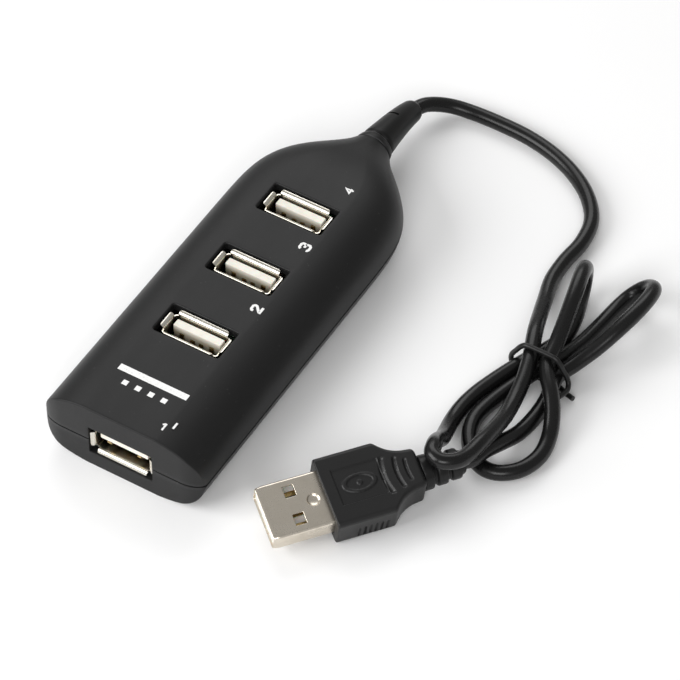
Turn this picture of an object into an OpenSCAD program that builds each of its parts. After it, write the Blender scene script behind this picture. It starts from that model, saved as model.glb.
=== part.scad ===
// Bus-powered USB hub: four receptacles in a two-shell case, with a captive
// lead that is folded, tied and ends in a Type-A plug.
// The case stands on z = 0 with its long axis along Y and the lead at +Y.

/* [Case] */
// Width of the case, measured on its parting line
case_w = 37.4; // [36.8:0.2:40]
// Length of the case from front face to neck
case_l = 98; // [96:1:104]
// Height of the case
case_h = 17; // [16.8:0.2:19]
// Wall thickness of both shells
wall = 1.8; // [1.4:0.1:1.8]
// Height of the parting line, which is also the middle of the front port
parting_z = 7.5; // [7.4:0.1:8]
// Radius of the neck where the strain relief comes out
neck_r = 4.1; // [4.1:0.1:4.6]
// How far the rounding of the front corners reaches in from each side
corner_w = 5; // [3:0.5:6]
// How far the rounding of the front corners reaches back from the front face
corner_l = 2.6; // [1.6:0.2:4]

/* [Ports] */
// Distance from one top port to the next
port_pitch = 19.3; // [17:0.1:20]
// Y position of the middle one of the three top ports
middle_port_y = -1.8; // [-4:0.1:0]
// How far the shell lips lie under the case surface
port_recess = 0.5; // [0.2:0.1:1]
// Depth of the front receptacle
front_port_depth = 13.5; // [12:0.1:14]

/* [Circuit board] */
// Thickness of the board
board_t = 1.6; // [1:0.1:1.6]
// Height of the board's underside
board_z = 3; // [2.8:0.1:3.2]

/* [Plug] */
// Length of the plug's bare metal shell
plug_shell_l = 12.4; // [11:0.1:13]
// Width of the plug's moulded grip
grip_w = 15.6; // [14:0.1:16]
// Thickness of the plug's moulded grip
grip_t = 7.6; // [7:0.1:7.8]

/* [Lead] */
// Diameter of the lead
cord_d = 3.3; // [2.8:0.1:3.4]
// Diameter of the twist tie's coated wire
tie_d = 1.1; // [0.8:0.1:1.2]

/* [Hidden] */

black = [0.05, 0.05, 0.055];
metal = [0.78, 0.77, 0.74];
ivory = [0.93, 0.91, 0.84];
gold = [0.83, 0.66, 0.30];
fine = 0.01;               // a cut that must run past a face runs past it by this much

// Case profile
front_y = -case_l / 2;
neck_y = case_l / 2;
tail_y = 11.5;             // where the sides start to draw in towards the neck
tail_power = 2.3;          // how late the sides draw in
roof_power = 2.5;          // how late the roof and floor draw in
draft = 0.08;              // share of the width that the sides lose up to the roof
flat_share = 0.975;        // the crown and the belly are cut flat at this share
roof_round = 3.4;          // superellipse power of the roof: high is boxy
belly_round = 3.4;         // superellipse power of the belly
neck_rise = 0.5;           // how far the neck's axis lies above the parting plane
cavity_end_y = 40;
flange_t = 1.3;            // thickness of the strain relief's flange inside the case
bore_r = neck_r - 1;       // hole in the neck for the strain relief

// Receptacle, in its own frame: the mouth is the plane z = 0 and faces +Z
sheet = 0.3;               // sheet thickness of the metal shells
mouth_w = 12.5;            // inside width of a receptacle
mouth_h = 5.1;             // inside height of a receptacle
lip_r = 0.95;              // outer radius of the flared lips
lip_long = 11.4;
lip_short = 4;
tongue_w = 11.1;
tongue_t = 1.84;
tongue_gap = 0.5;          // from the tongue's back to the shell
tongue_tip = 1.1;          // how far the tongue's tip lies inside the mouth
base_t = 2.2;
contact_xs = [-3.5, -1, 1, 3.5];
contact_w = 1;
contact_t = 0.25;
leg_w = 0.6;
leg_drop = 0.7;            // how far legs stand out under the board
slot_clear = 0.05;

board_top = board_z + board_t;
mouth_z = case_h - port_recess;
top_port_depth = mouth_z - board_top;
front_mouth_y = front_y + 0.4;
top_port_ys = [middle_port_y - port_pitch, middle_port_y, middle_port_y + port_pitch];
lips_w = mouth_w + 2 * lip_r;
lips_h = mouth_h + 2 * lip_r;
top_gap = 0.4;             // gap between a receptacle's lips and its opening in the roof
front_gap = 0.15;          // the same in the front face
neck_z = parting_z + neck_rise;
tab_w = 1.6;
tab_x = mouth_w / 2 + sheet / 2;

// The plug lies rolled a little on its side, so one lower edge touches the table
plug_at = [39.2, -37, 5.5];
plug_turn = [-12.3, 0, 231.4];   // roll, pitch and yaw in degrees
plug_w = 12;
plug_h = 4.5;
relief_start = 19.8;             // distances behind the grip's front face
relief_end = 29;
plug_dir = [cos(plug_turn[2]), sin(plug_turn[2]), 0];

// The lead's route, from the strain relief's tip through the tie to the plug
lie = 1.8;                       // centre height where it rests on the table
boot_tip = [0, 64.5, 5];
to_bundle = [
  [1.5, 68, 4.5], [5, 71.5, 3], [10, 73.2, 2], [17, 73.5, lie], [24, 73, lie],
  [31, 71.3, lie], [37.5, 68.3, lie], [43, 64, lie], [46.8, 58.5, lie], [48, 52, lie],
  [47.5, 45.5, lie], [47.8, 39.5, 2], [49.5, 33.5, 2.8], [51.3, 27.8, 4.4],
  [53.3, 22, 6.1], [55.6, 16, 6.3], [57.2, 10.5, 5.9], [58.2, 5, 5.6],
  [59, -0.5, 6.3], [59.4, -6, 8], [59.4, -11, 9.4],
];
fold_over_relief = [
  [59, -15.4, 9.9], [58, -18.6, 10.6], [55.6, -20.4, 11], [53.3, -19.6, 11],
  [52.3, -17.2, 10.4], [51.4, -14.5, 8.3], [51, -11.6, 5.9], [50, -8.2, 3.8],
];
under_to_narrow_fold = [
  [49, -4, 2.2], [48.8, 0.5, lie], [49.5, 5, lie], [51.2, 10, 2.2], [53.9, 16, 3],
  [56, 21.5, 2.4], [57.4, 27, lie], [56.9, 32.5, lie], [55.5, 37.5, 2],
];
narrow_fold = [
  [54.6, 40.6, 3.4], [54.3, 41.6, 6.2], [54.7, 40.2, 9], [55.6, 36.8, 10.4],
  [56.9, 31.5, 10.2], [58, 26, 8.8], [58.8, 21, 7.2], [59.5, 16, 6.3],
];
round_loop = [
  [61.3, 12.8, 6], [63.7, 9.8, 5.5], [66, 6.3, 4.2], [67.6, 2.3, 2.4], [68.2, -2.5, lie],
  [66.8, -7.3, lie], [63.6, -10.4, lie], [60, -11, lie], [56.4, -9, lie], [53.7, -5.2, lie],
  [52.5, -0.8, lie], [53.1, 4, lie], [55, 10, 2.2], [57.6, 16, 3],
];
wide_fold = [
  [59.7, 21.5, 2.4], [61.2, 27.5, lie], [62.2, 34, lie], [62.9, 40, lie], [64.2, 43.5, 2.9],
  [66.6, 44.8, 5.4], [69, 43.2, 8], [69.8, 39.5, 9.2], [69.4, 34.5, 9.2], [67.9, 29.5, 7.8],
  [65.7, 25, 5.4], [63.3, 20.5, 3.6], [61.6, 16, 3],
];
to_plug = [
  [62.4, 11, 2], [62.5, 5.5, lie], [61.9, 0, 2.2], [60.8, -5, 3.9], [59.6, -9.5, 5.4],
];
relief_tip = plug_at - relief_end * plug_dir;
cord_route = concat(
  [boot_tip], to_bundle, fold_over_relief, under_to_narrow_fold, narrow_fold,
  round_loop, wide_fold, to_plug, [relief_tip - 2.2 * plug_dir, relief_tip]
);

// Strain relief of the hub: its centreline, and the radius at each point
boot_line = [[0, 49.1, neck_z], [0, 53, 7.6], [0, 57, 7], [0, 61, 6.1], boot_tip];
boot_radii = [3.7, 3.4, 3.1, 2.8, 2.5];
boot_tip_dir = [0.2, 0.95, -0.24];

// The tie's wire: in from its first tail, round the bundle, out to its second
tie_route = [
  [66.5, 14.3, 1.1], [64.6, 15, 0.8], [62.8, 15.8, 0.65], [61, 16, 0.65], [57, 16, 0.65],
  [53.6, 16, 0.65], [52.2, 16, 1.1], [51.4, 16, 2.2], [51.3, 16, 3.6], [51.6, 16, 4.6],
  [52.4, 16, 6], [53.2, 16, 7.4], [54.2, 16, 8.4], [55.6, 16, 8.65], [59.7, 16, 8.65],
  [61.2, 16, 8.4], [62.2, 16, 7.4], [63, 16, 6], [63.9, 16, 4.6], [64.6, 15.6, 3.4],
  [65, 14.6, 2.9], [65, 13.2, 3], [64.6, 11.6, 3.3],
];

// ---- Vectors and sweeps ----

function unit(v) = v / norm(v);
function tangent(p, i, n) = unit(p[min(i + 1, n - 1)] - p[max(i - 1, 0)]);

// Side vector across the path: kept level, so the sweep doesn't twist
function side(t) = unit(cross(t, abs(t[2]) > 0.9 ? [1, 0, 0] : [0, 0, 1]));

function ring(c, t, r, sides) = let (u = side(t), v = cross(u, t))
  [for (k = [0 : sides - 1]) c + r * (cos(360 * k / sides) * u + sin(360 * k / sides) * v)];

// A closed tube along points p, whose radius at each point is in r
module sweep(p, r, sides, first_dir = undef, last_dir = undef) {
  n = len(p);
  dirs = [for (i = [0 : n - 1])
    i == 0 && !is_undef(first_dir) ? unit(first_dir)
    : i == n - 1 && !is_undef(last_dir) ? unit(last_dir)
    : tangent(p, i, n)];
  points = [for (i = [0 : n - 1]) each ring(p[i], dirs[i], is_list(r) ? r[i] : r, sides)];
  skin = [for (i = [0 : n - 2], k = [0 : sides - 1])
    let (a = i * sides + k, b = i * sides + (k + 1) % sides)
    each [[a, b, b + sides], [a, b + sides, a + sides]]];
  first_cap = [for (k = [sides - 1 : -1 : 0]) k];
  last_cap = [for (k = [0 : sides - 1]) (n - 1) * sides + k];
  polyhedron(points, concat([first_cap], skin, [last_cap]));
}

// ---- Case ----

// 1 along the straight sides, falling to 0 at the neck
function tail(y, power) = y <= tail_y ? 1
  : (1 + cos(180 * pow(min(1, (y - tail_y) / (neck_y - tail_y)), power))) / 2;

// Height of the seam between the shells, which climbs to the neck's axis
function seam_z(y) = parting_z + neck_rise * (1 - tail(y, roof_power));

function half_width(y) = neck_r + (case_w / 2 - neck_r) * tail(y, tail_power);
function rise(y) = neck_r + (case_h - parting_z - neck_r) * tail(y, roof_power);
function sink(y) = neck_r + (parting_z - neck_r) * tail(y, roof_power);

// Half a superellipse of half width w and height h, up one side, flat across
// the top, and down the other
function arch(w, h, power, flat, steps) =
  let (
    top = asin(pow(flat, power / 2)),
    up_side = [for (k = [0 : steps])
      let (a = top * k / steps, z = pow(sin(a), 2 / power) / flat)
      [w * pow(cos(a), 2 / power) * (1 - draft * z), h * z]]
  )
  concat(up_side, [for (k = [steps : -1 : 0]) [-up_side[k][0], up_side[k][1]]]);

// Section of the roof (up = 1) or the belly (up = -1), inset by t, carried
// past the parting plane by skirt
function section(y, up, t, skirt, steps) =
  let (
    s = tail(y, roof_power),
    power = 2 + ((up > 0 ? roof_round : belly_round) - 2) * s,
    h = (up > 0 ? rise(y) : sink(y)) - t,
    a = arch(half_width(y) - t, h, power, 1 - (1 - flat_share) * max(s, 0.05), steps),
    w = a[0][0]
  )
  skirt > 0 ? concat([[w, -skirt]], a, [[-w, -skirt]]) : a;

module loft(ys, up, t, skirt, steps) {
  n = len(ys);
  m = 2 * (steps + 1) + (skirt > 0 ? 2 : 0);
  points = [for (y = ys) each [for (q = section(y, up, t, skirt, steps))
    [q[0], y, seam_z(y) + up * q[1]]]];
  skin = [for (i = [0 : n - 2], k = [0 : m - 1])
    let (a = i * m + k, b = i * m + (k + 1) % m)
    each [[a, b, b + m], [a, b + m, a + m]]];
  ends = [[for (k = [m - 1 : -1 : 0]) k], [for (k = [0 : m - 1]) (n - 1) * m + k]];
  faces = concat(ends, skin);
  polyhedron(points, up > 0 ? faces : [for (f = faces) [for (k = [len(f) - 1 : -1 : 0]) f[k]]]);
}

arch_steps = 11;
tail_ys = [for (k = [0 : 15]) tail_y + (neck_y - tail_y) * pow(k / 15, 0.8)];
outer_ys = concat([front_y], tail_ys);
cavity_ys = concat(
  [front_y + wall],
  [for (y = outer_ys) if (y > front_y + wall + 0.2 && y < cavity_end_y - 0.2) y],
  [cavity_end_y]
);

// Plan of the case's front: a straight face that curves back at both corners
module front_plan() {
  w = case_w / 2;
  corner = [for (a = [0 : 9 : 90])
    [w - corner_w * (1 - sin(a)), front_y + corner_l * (1 - cos(a))]];
  side = concat(corner, [[w + 1, front_y + corner_l], [w + 1, neck_y + 1]]);
  polygon(concat(side, [for (k = [len(side) - 1 : -1 : 0]) [-side[k][0], side[k][1]]]));
}

module half_shell(up) {
  difference() {
    intersection() {
      loft(outer_ys, up, 0, 0, arch_steps);
      translate([0, 0, -1])
        linear_extrude(case_h + 2)
          front_plan();
    }
    loft(cavity_ys, up, wall, 0.5, arch_steps);
    front_opening();
    translate([0, cavity_end_y - 1, neck_z])
      rotate([-90, 0, 0])
        cylinder(r = bore_r, h = case_l, $fn = 48);
  }
}

module front_opening() {
  w = lips_w + 2 * front_gap;
  h = lips_h + 2 * front_gap;
  translate([-w / 2, front_y - 1, parting_z - h / 2])
    cube([w, wall + 2, h]);
}

module top_shell() {
  w = lips_w + 2 * top_gap;
  h = lips_h + 2 * top_gap;
  color(black)
    difference() {
      half_shell(1);
      for (y = top_port_ys)
        translate([-w / 2, y - h / 2, parting_z + 2])
          cube([w, h, case_h]);
    }
}

boss_spots = [[-9.5, -32.2], [9.5, -32.2], [-9.5, 22.5], [9.5, 22.5]];
boss_r = 2;
peg_r = 0.9;
peg_hole_r = 1.05;

module bottom_shell() {
  color(black) {
    half_shell(-1);
    for (p = boss_spots) {
      translate([p[0], p[1], 1.4])
        cylinder(r = boss_r, h = board_z - 1.4, $fn = 32);
      translate([p[0], p[1], 1.4])
        cylinder(r = peg_r, h = board_top - 0.3 - 1.4, $fn = 32);
    }
  }
}

// ---- Circuit board and what is soldered to it ----

board_outline = [[-11.8, -46.5], [11.8, -46.5], [11.8, 25], [8.5, 31], [-8.5, 31], [-11.8, 25]];
leg_hole_r = 0.5;
front_leg_y = front_mouth_y + front_port_depth + 1.2;
wire_pads = [[-4.5, 28], [-1.5, 28], [1.5, 28], [4.5, 28]];

// Where the contact legs of all the ports go through the board
function leg_spots() = concat(
  [for (x = contact_xs) [x, front_leg_y]],
  [for (y = top_port_ys, x = contact_xs) [x, y + leg_local_y()]]
);
// Contact legs of an upright port stand in line with its contacts
function leg_local_y() = tongue_front() - leg_w / 2;
function tongue_front() = mouth_h / 2 - tongue_gap - tongue_t;

// Where the shells' solder tabs go through the board
function tab_spots() = concat(
  [for (sx = [-1, 1]) [sx * tab_x, front_mouth_y + 8]],
  [for (y = top_port_ys, sx = [-1, 1]) [sx * tab_x, y]]
);

module circuit_board() {
  color([0.05, 0.32, 0.16])
    difference() {
      translate([0, 0, board_z])
        linear_extrude(board_t)
          polygon(board_outline);
      for (p = leg_spots())
        translate([p[0], p[1], board_z - 1])
          cylinder(r = leg_hole_r, h = board_t + 2, $fn = 24);
      for (p = tab_spots())
        translate([p[0] - 0.3, p[1] - tab_w / 2 - 0.15, board_z - 1])
          cube([0.6, tab_w + 0.3, board_t + 2]);
      for (p = boss_spots)
        translate([p[0], p[1], board_z - 1])
          cylinder(r = peg_hole_r, h = board_t + 2, $fn = 32);
    }
}

// A ring of solder round each leg, under the board
module solder_joints() {
  color([0.75, 0.75, 0.77])
    for (p = leg_spots())
      translate([p[0], p[1], board_z])
        mirror([0, 0, 1])
          difference() {
            cylinder(r1 = 0.9, r2 = 0.55, h = 0.5, $fn = 24);
            translate([-leg_w / 2, -leg_w / 2, -1])
              cube([leg_w, leg_w, 3]);
          }
}

chip_at = [0, -29.6];
chip_size = [10, 4, 1.5];
chip_gap = 0.2;
chip_pin_count = 8;
chip_pin_pitch = 1.27;

module hub_chip() {
  color([0.08, 0.08, 0.09])
    translate([chip_at[0] - chip_size[0] / 2, chip_at[1] - chip_size[1] / 2, board_top + chip_gap])
      cube(chip_size);
}

// Gull-wing leads down both long sides of the chip
module chip_leads() {
  foot = 0.8;
  thick = 0.2;
  wide = 0.45;
  knee_z = chip_gap + chip_size[2] / 2;
  color(metal)
    for (s = [-1, 1], k = [0 : chip_pin_count - 1]) {
      x = chip_at[0] + (k - (chip_pin_count - 1) / 2) * chip_pin_pitch;
      translate([x - wide / 2, chip_at[1], board_top])
        mirror([0, s < 0 ? 1 : 0, 0])
          translate([0, chip_size[1] / 2, 0]) {
            translate([0, 0, knee_z - thick])
              cube([wide, 0.4, thick]);
            translate([0, 0.4 - thick, 0])
              cube([wide, thick, knee_z]);
            translate([0, 0.4 - thick, 0])
              cube([wide, foot, thick]);
          }
    }
}

module crystal() {
  r = 2.3;
  half = 3.2;
  color(metal)
    translate([0, middle_port_y + port_pitch / 2 + 0.2, board_top]) {
      translate([-half, -r, 0])
        cube([2 * half, 2 * r, 3.6]);
      for (s = [-1, 1])
        translate([s * half, 0, 0])
          cylinder(r = r, h = 3.6, $fn = 40);
    }
}

module bulk_capacitor() {
  color([0.12, 0.14, 0.3])
    translate([9.2, -11.4, board_top])
      cylinder(r = 2.5, h = 7, $fn = 40);
}

module chip_part(p, size, turned) {
  w = turned ? [size[1], size[0], size[2]] : size;
  translate([p[0] - w[0] / 2, p[1] - w[1] / 2, board_top])
    cube(w);
}

module ceramic_capacitors() {
  color([0.66, 0.52, 0.36])
    for (p = [[-9.5, -13], [-9.5, -10.6], [8.6, -29], [-8.6, -29], [10.4, 2], [-10.4, 4.5]])
      chip_part(p, [2, 1.25, 0.9], p[1] > -5);
}

module resistors() {
  color([0.1, 0.1, 0.11])
    for (p = [[-10.6, -22], [-10.6, -19.5], [10.6, -22], [-10.4, 9], [10.4, 7], [10.4, 10]])
      chip_part(p, [1.6, 0.8, 0.5], p[1] > 0);
}

// ---- Receptacles ----

// Quarter-round flare that turns a wall outwards to the mouth plane
module lip(length) {
  translate([0, 0, -lip_r])
    rotate([90, 0, 0])
      translate([0, 0, -length / 2])
        linear_extrude(length)
          intersection() {
            difference() {
              translate([lip_r, 0])
                circle(r = lip_r, $fn = 40);
              translate([lip_r, 0])
                circle(r = lip_r - sheet, $fn = 40);
            }
            square([lip_r, lip_r]);
          }
}

// A spring finger that leans in from the wall opposite the tongue
module spring_finger() {
  finger_w = 1.8;
  finger_l = 4.6;
  lean = 11;
  translate([0, -mouth_h / 2 - sheet / 2, -3.4])
    rotate([lean, 0, 0])
      translate([-finger_w / 2, 0, -finger_l])
        cube([finger_w, sheet, finger_l]);
}

// solder tabs stand out of the back of an upright port, or down from a flat one
module port_shell(depth, flat) {
  ow = mouth_w + 2 * sheet;
  oh = mouth_h + 2 * sheet;
  difference() {
    translate([-ow / 2, -oh / 2, -depth])
      cube([ow, oh, depth - lip_r]);
    translate([-mouth_w / 2, -mouth_h / 2, -depth - 1])
      cube([mouth_w, mouth_h, depth + 2]);
  }
  for (s = [-1, 1]) {
    scale([s, 1, 1])
      translate([mouth_w / 2, 0, 0])
        lip(lip_short);
    rotate([0, 0, s * 90])
      translate([mouth_h / 2, 0, 0])
        lip(lip_long);
    translate([s * 3, 0, 0])
      spring_finger();
    if (flat)
      translate([s * tab_x - sheet / 2, -oh / 2 - board_t - leg_drop, -8 - tab_w / 2])
        cube([sheet, board_t + leg_drop + 1, tab_w]);
    else
      translate([s * tab_x - sheet / 2, -tab_w / 2, -depth - board_t - leg_drop])
        cube([sheet, tab_w, board_t + leg_drop + 1]);
  }
}

// Base block and tongue, with a slot for each contact
module port_insulator(depth) {
  front = tongue_front();
  difference() {
    union() {
      translate([-mouth_w / 2 + slot_clear, -mouth_h / 2 + slot_clear, -depth])
        cube([mouth_w - 2 * slot_clear, mouth_h - 2 * slot_clear, base_t]);
      translate([-tongue_w / 2, front, -depth])
        cube([tongue_w, tongue_t, depth - tongue_tip]);
    }
    for (x = contact_xs)
      translate([x - contact_w / 2 - slot_clear, front - leg_w, -depth - 1])
        cube([contact_w + 2 * slot_clear, leg_w, base_t + 1 + fine]);
  }
}

// The outer pair reaches nearer to the mouth, so that power connects first
module port_contacts(depth, flat) {
  front = tongue_front();
  for (x = contact_xs) {
    reach = tongue_tip + (abs(x) > 2 ? 1.9 : 2.4);
    translate([x - contact_w / 2, front - contact_t, -depth])
      cube([contact_w, contact_t, depth - reach]);
    if (flat) {
      translate([x - leg_w / 2, front - leg_w, -depth - 1.2 - leg_w / 2])
        cube([leg_w, leg_w, 1.2 + leg_w / 2 + 0.6]);
      translate([x - leg_w / 2, -parting_z + board_z - leg_drop, -depth - 1.2 - leg_w / 2])
        cube([leg_w, parting_z - board_z + leg_drop + front, leg_w]);
    } else
      translate([x - leg_w / 2, front - leg_w, -depth - board_t - leg_drop])
        cube([leg_w, leg_w, board_t + leg_drop + 0.6]);
  }
}

module at_front_port() {
  translate([0, front_mouth_y, parting_z])
    rotate([90, 0, 0])
      children();
}

module at_top_port(n) {
  translate([0, top_port_ys[n - 2], mouth_z])
    children();
}

module port_1_shell() { color(metal) at_front_port() port_shell(front_port_depth, true); }
module port_1_insulator() { color(ivory) at_front_port() port_insulator(front_port_depth); }
module port_1_contacts() { color(gold) at_front_port() port_contacts(front_port_depth, true); }
module top_port_shell(n) { color(metal) at_top_port(n) port_shell(top_port_depth, false); }
module top_port_insulator(n) { color(ivory) at_top_port(n) port_insulator(top_port_depth); }
module top_port_contacts(n) { color(gold) at_top_port(n) port_contacts(top_port_depth, false); }

// ---- Lead ----

// One insulated wire from the strain relief's inner end to its pad
module wire(k, tint) {
  pad = wire_pads[k];
  r = 0.55;
  color(tint)
    sweep([
      [pad[0] * 0.4, cavity_end_y - flange_t - 0.1, neck_z], [pad[0] * 0.5, 36.8, neck_z - 0.2],
      [pad[0] * 0.8, 34, neck_z - 1.2], [pad[0], 31, board_top + 1],
      [pad[0], pad[1], board_top + r],
    ], r, 8);
}

// Flange inside the case, neck through its bore, and the drooping tail
module cable_boot() {
  color(black) {
    translate([0, cavity_end_y - flange_t, neck_z])
      rotate([-90, 0, 0])
        cylinder(r = bore_r + 0.5, h = flange_t, $fn = 40);
    translate([0, cavity_end_y - 0.5, neck_z])
      rotate([-90, 0, 0])
        cylinder(r = bore_r - 0.15, h = 49.6 - cavity_end_y + 0.5, $fn = 40);
    sweep(boot_line, boot_radii, 20, [0, 1, 0], boot_tip_dir);
  }
}

module cord() {
  color(black)
    sweep(cord_route, cord_d / 2, 8, boot_tip_dir, plug_dir);
}

module twist_tie() {
  color(black)
    sweep(tie_route, tie_d / 2, 8);
}

// ---- Plug, in its own frame: +X is towards its tip, the grip's face is x = 0 ----

module plug_frame() {
  translate(plug_at)
    rotate(plug_turn)
      children();
}

shell_root = 3;                  // how far the metal shell reaches into the grip
window_x = 6.2;
window_y = 3.1;
window_size = [2.2, 2.5];

module plug_shell() {
  color(metal)
    plug_frame()
      difference() {
        translate([-shell_root, -plug_w / 2, -plug_h / 2])
          cube([plug_shell_l + shell_root, plug_w, plug_h]);
        translate([-shell_root - 1, -plug_w / 2 + sheet, -plug_h / 2 + sheet])
          cube([plug_shell_l + shell_root + 2, plug_w - 2 * sheet, plug_h - 2 * sheet]);
        for (s = [-1, 1])
          translate([window_x - window_size[0] / 2, s * window_y - window_size[1] / 2, -plug_h])
            cube([window_size[0], window_size[1], 2 * plug_h]);
      }
}

insulator_t = 1.9;

module plug_insulator() {
  color(ivory)
    plug_frame()
      translate([-shell_root, -plug_w / 2 + sheet, -plug_h / 2 + sheet])
        cube([plug_shell_l + shell_root - 0.4, plug_w - 2 * sheet, insulator_t]);
}

module plug_contacts() {
  top = -plug_h / 2 + sheet + insulator_t;
  color(gold)
    plug_frame()
      for (x = contact_xs) {
        far = plug_shell_l - (abs(x) > 2 ? 1.2 : 2.2);
        translate([-shell_root, x - contact_w / 2, top])
          cube([far + shell_root, contact_w, contact_t]);
      }
}

// Half outline of the grip, from its front face back to the strain relief
grip_half = [
  [0, 1], [-12.2, 1], [-13.4, 0.82], [-14.6, 0.7], [-16.2, 0.6], [-18, 0.56],
  [-relief_start, 0.54],
];
grip_bevel = 0.9;

module grip_plan(inset) {
  w = grip_w / 2;
  polygon(concat(
    [for (q = grip_half) [q[0], q[1] * w - inset]],
    [for (k = [len(grip_half) - 1 : -1 : 0]) [grip_half[k][0], -grip_half[k][1] * w + inset]]
  ));
}

module plug_overmold() {
  flat_t = grip_t - 2 * grip_bevel;
  color(black)
    plug_frame()
      difference() {
        union() {
          translate([0, 0, -flat_t / 2])
            linear_extrude(flat_t)
              grip_plan(0);
          translate([0, 0, -grip_t / 2])
            linear_extrude(grip_t)
              grip_plan(grip_bevel);
        }
        translate([-shell_root, -plug_w / 2, -plug_h / 2])
          cube([shell_root + 1, plug_w, plug_h]);
      }
}

module plug_strain_relief() {
  rib_rs = [3.6, 3.35, 3.1];
  rib_l = 2.2;
  gap_l = 0.8;
  color(black)
    plug_frame()
      rotate([0, -90, 0]) {
        translate([0, 0, relief_start])
          cylinder(r1 = 3, r2 = 2.3, h = relief_end - relief_start, $fn = 40);
        for (k = [0 : len(rib_rs) - 1])
          translate([0, 0, relief_start + k * (rib_l + gap_l)])
            cylinder(r = rib_rs[k], h = rib_l, $fn = 40);
      }
}

top_shell();
bottom_shell();
circuit_board();
port_1_shell();
port_1_insulator();
port_1_contacts();
top_port_shell(2);  // port_2_shell
top_port_insulator(2);  // port_2_insulator
top_port_contacts(2);  // port_2_contacts
top_port_shell(3);  // port_3_shell
top_port_insulator(3);  // port_3_insulator
top_port_contacts(3);  // port_3_contacts
top_port_shell(4);  // port_4_shell
top_port_insulator(4);  // port_4_insulator
top_port_contacts(4);  // port_4_contacts
hub_chip();
chip_leads();
crystal();
bulk_capacitor();
ceramic_capacitors();
resistors();
solder_joints();
wire(0, [0.75, 0.06, 0.05]);  // power_lead_red
wire(1, [0.92, 0.92, 0.9]);  // data_lead_white
wire(2, [0.05, 0.5, 0.15]);  // data_lead_green
wire(3, [0.06, 0.06, 0.06]);  // ground_lead_black
cable_boot();
cord();
twist_tie();
plug_shell();
plug_insulator();
plug_contacts();
plug_overmold();
plug_strain_relief();
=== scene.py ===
"""A four-port USB hub with a tied lead: its looks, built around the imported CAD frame.

All shapes are worked out in millimetres in the CAD frame, and turned into metres
when a mesh is made. The case stands on z = 0 with its front port at -Y and its lead at +Y.
"""
import math

import bmesh
import bpy
from mathutils import Matrix, Vector


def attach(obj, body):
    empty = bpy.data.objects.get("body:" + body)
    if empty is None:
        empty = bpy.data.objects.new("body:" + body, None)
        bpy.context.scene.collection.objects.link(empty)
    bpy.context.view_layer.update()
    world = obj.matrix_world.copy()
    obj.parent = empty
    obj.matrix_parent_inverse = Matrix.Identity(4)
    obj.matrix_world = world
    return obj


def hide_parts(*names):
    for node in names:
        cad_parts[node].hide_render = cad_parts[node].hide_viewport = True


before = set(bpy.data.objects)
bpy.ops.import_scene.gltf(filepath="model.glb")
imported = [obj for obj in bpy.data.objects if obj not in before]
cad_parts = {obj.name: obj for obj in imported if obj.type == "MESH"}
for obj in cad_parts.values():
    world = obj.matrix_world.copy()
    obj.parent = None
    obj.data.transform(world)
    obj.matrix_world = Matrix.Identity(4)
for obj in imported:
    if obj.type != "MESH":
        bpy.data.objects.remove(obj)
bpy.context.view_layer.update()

MM = 0.001
ROOT = "root"


def in_scene(name, data):
    obj = bpy.data.objects.new(name, data)
    bpy.context.scene.collection.objects.link(obj)
    return obj


# ---- camera ----

CAMERA_AT = Vector((257.87, -398.97, 538.0))
CAMERA_TARGET = Vector((21.40, -1.317, 7.5))
CAMERA_ROLL = math.radians(0.386)
CAMERA_LENS = 185.67


def make_camera():
    data = bpy.data.cameras.new("camera")
    data.lens = CAMERA_LENS
    data.sensor_width = 36
    data.clip_start = 0.01
    data.clip_end = 20
    data.dof.use_dof = False
    camera = in_scene("camera", data)
    aim = (CAMERA_TARGET - CAMERA_AT).to_track_quat("-Z", "Y").to_matrix()
    turn = aim @ Matrix.Rotation(CAMERA_ROLL, 3, "Z")
    camera.matrix_world = Matrix.Translation(CAMERA_AT * MM) @ turn.to_4x4()
    bpy.context.scene.camera = camera


make_camera()


# ---- sizes shared with the CAD ----

CASE_W = 37.4
CASE_L = 98
CASE_H = 17
WALL = 1.8
PARTING_Z = 7.5
NECK_R = 4.1
CORNER_W = 5
CORNER_L = 2.6
FRONT_Y = -CASE_L / 2
NECK_Y = CASE_L / 2
TAIL_Y = 11.5
TAIL_POWER = 2.3
ROOF_POWER = 2.5
DRAFT = 0.08
FLAT_SHARE = 0.975
ROOF_ROUND = 3.4
BELLY_ROUND = 3.4
NECK_RISE = 0.5
NECK_Z = PARTING_Z + NECK_RISE
CAVITY_END_Y = 40
BORE_R = NECK_R - 1
PORT_PITCH = 19.3
MIDDLE_PORT_Y = -1.8
TOP_PORT_YS = {2: MIDDLE_PORT_Y - PORT_PITCH, 3: MIDDLE_PORT_Y, 4: MIDDLE_PORT_Y + PORT_PITCH}
MOUTH_Z = CASE_H - 0.5        # the plane of the top receptacles' mouths
FRONT_MOUTH_Y = FRONT_Y + 0.4
FRONT_DEPTH = 13.5
BOARD_Z = 3
BOARD_T = 1.6
BOARD_TOP = BOARD_Z + BOARD_T

SHEET = 0.3
MOUTH_W = 12.5
MOUTH_H = 5.1
LIP_R = 0.95
LIPS_W = MOUTH_W + 2 * LIP_R
LIPS_H = MOUTH_H + 2 * LIP_R
TOP_GAP = 0.4
FRONT_GAP = 0.15
TOP_OPENING = (LIPS_W + 2 * TOP_GAP, LIPS_H + 2 * TOP_GAP)
FRONT_OPENING = (LIPS_W + 2 * FRONT_GAP, LIPS_H + 2 * FRONT_GAP)


# ---- mesh helpers ----

def mesh_object(name, points, faces):
    """A mesh object from points in millimetres."""
    mesh = bpy.data.meshes.new(name)
    mesh.from_pydata([Vector(p) * MM for p in points], [], faces)
    mesh.validate()
    obj = in_scene(name, mesh)
    tidy_normals(obj)
    return obj


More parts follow.
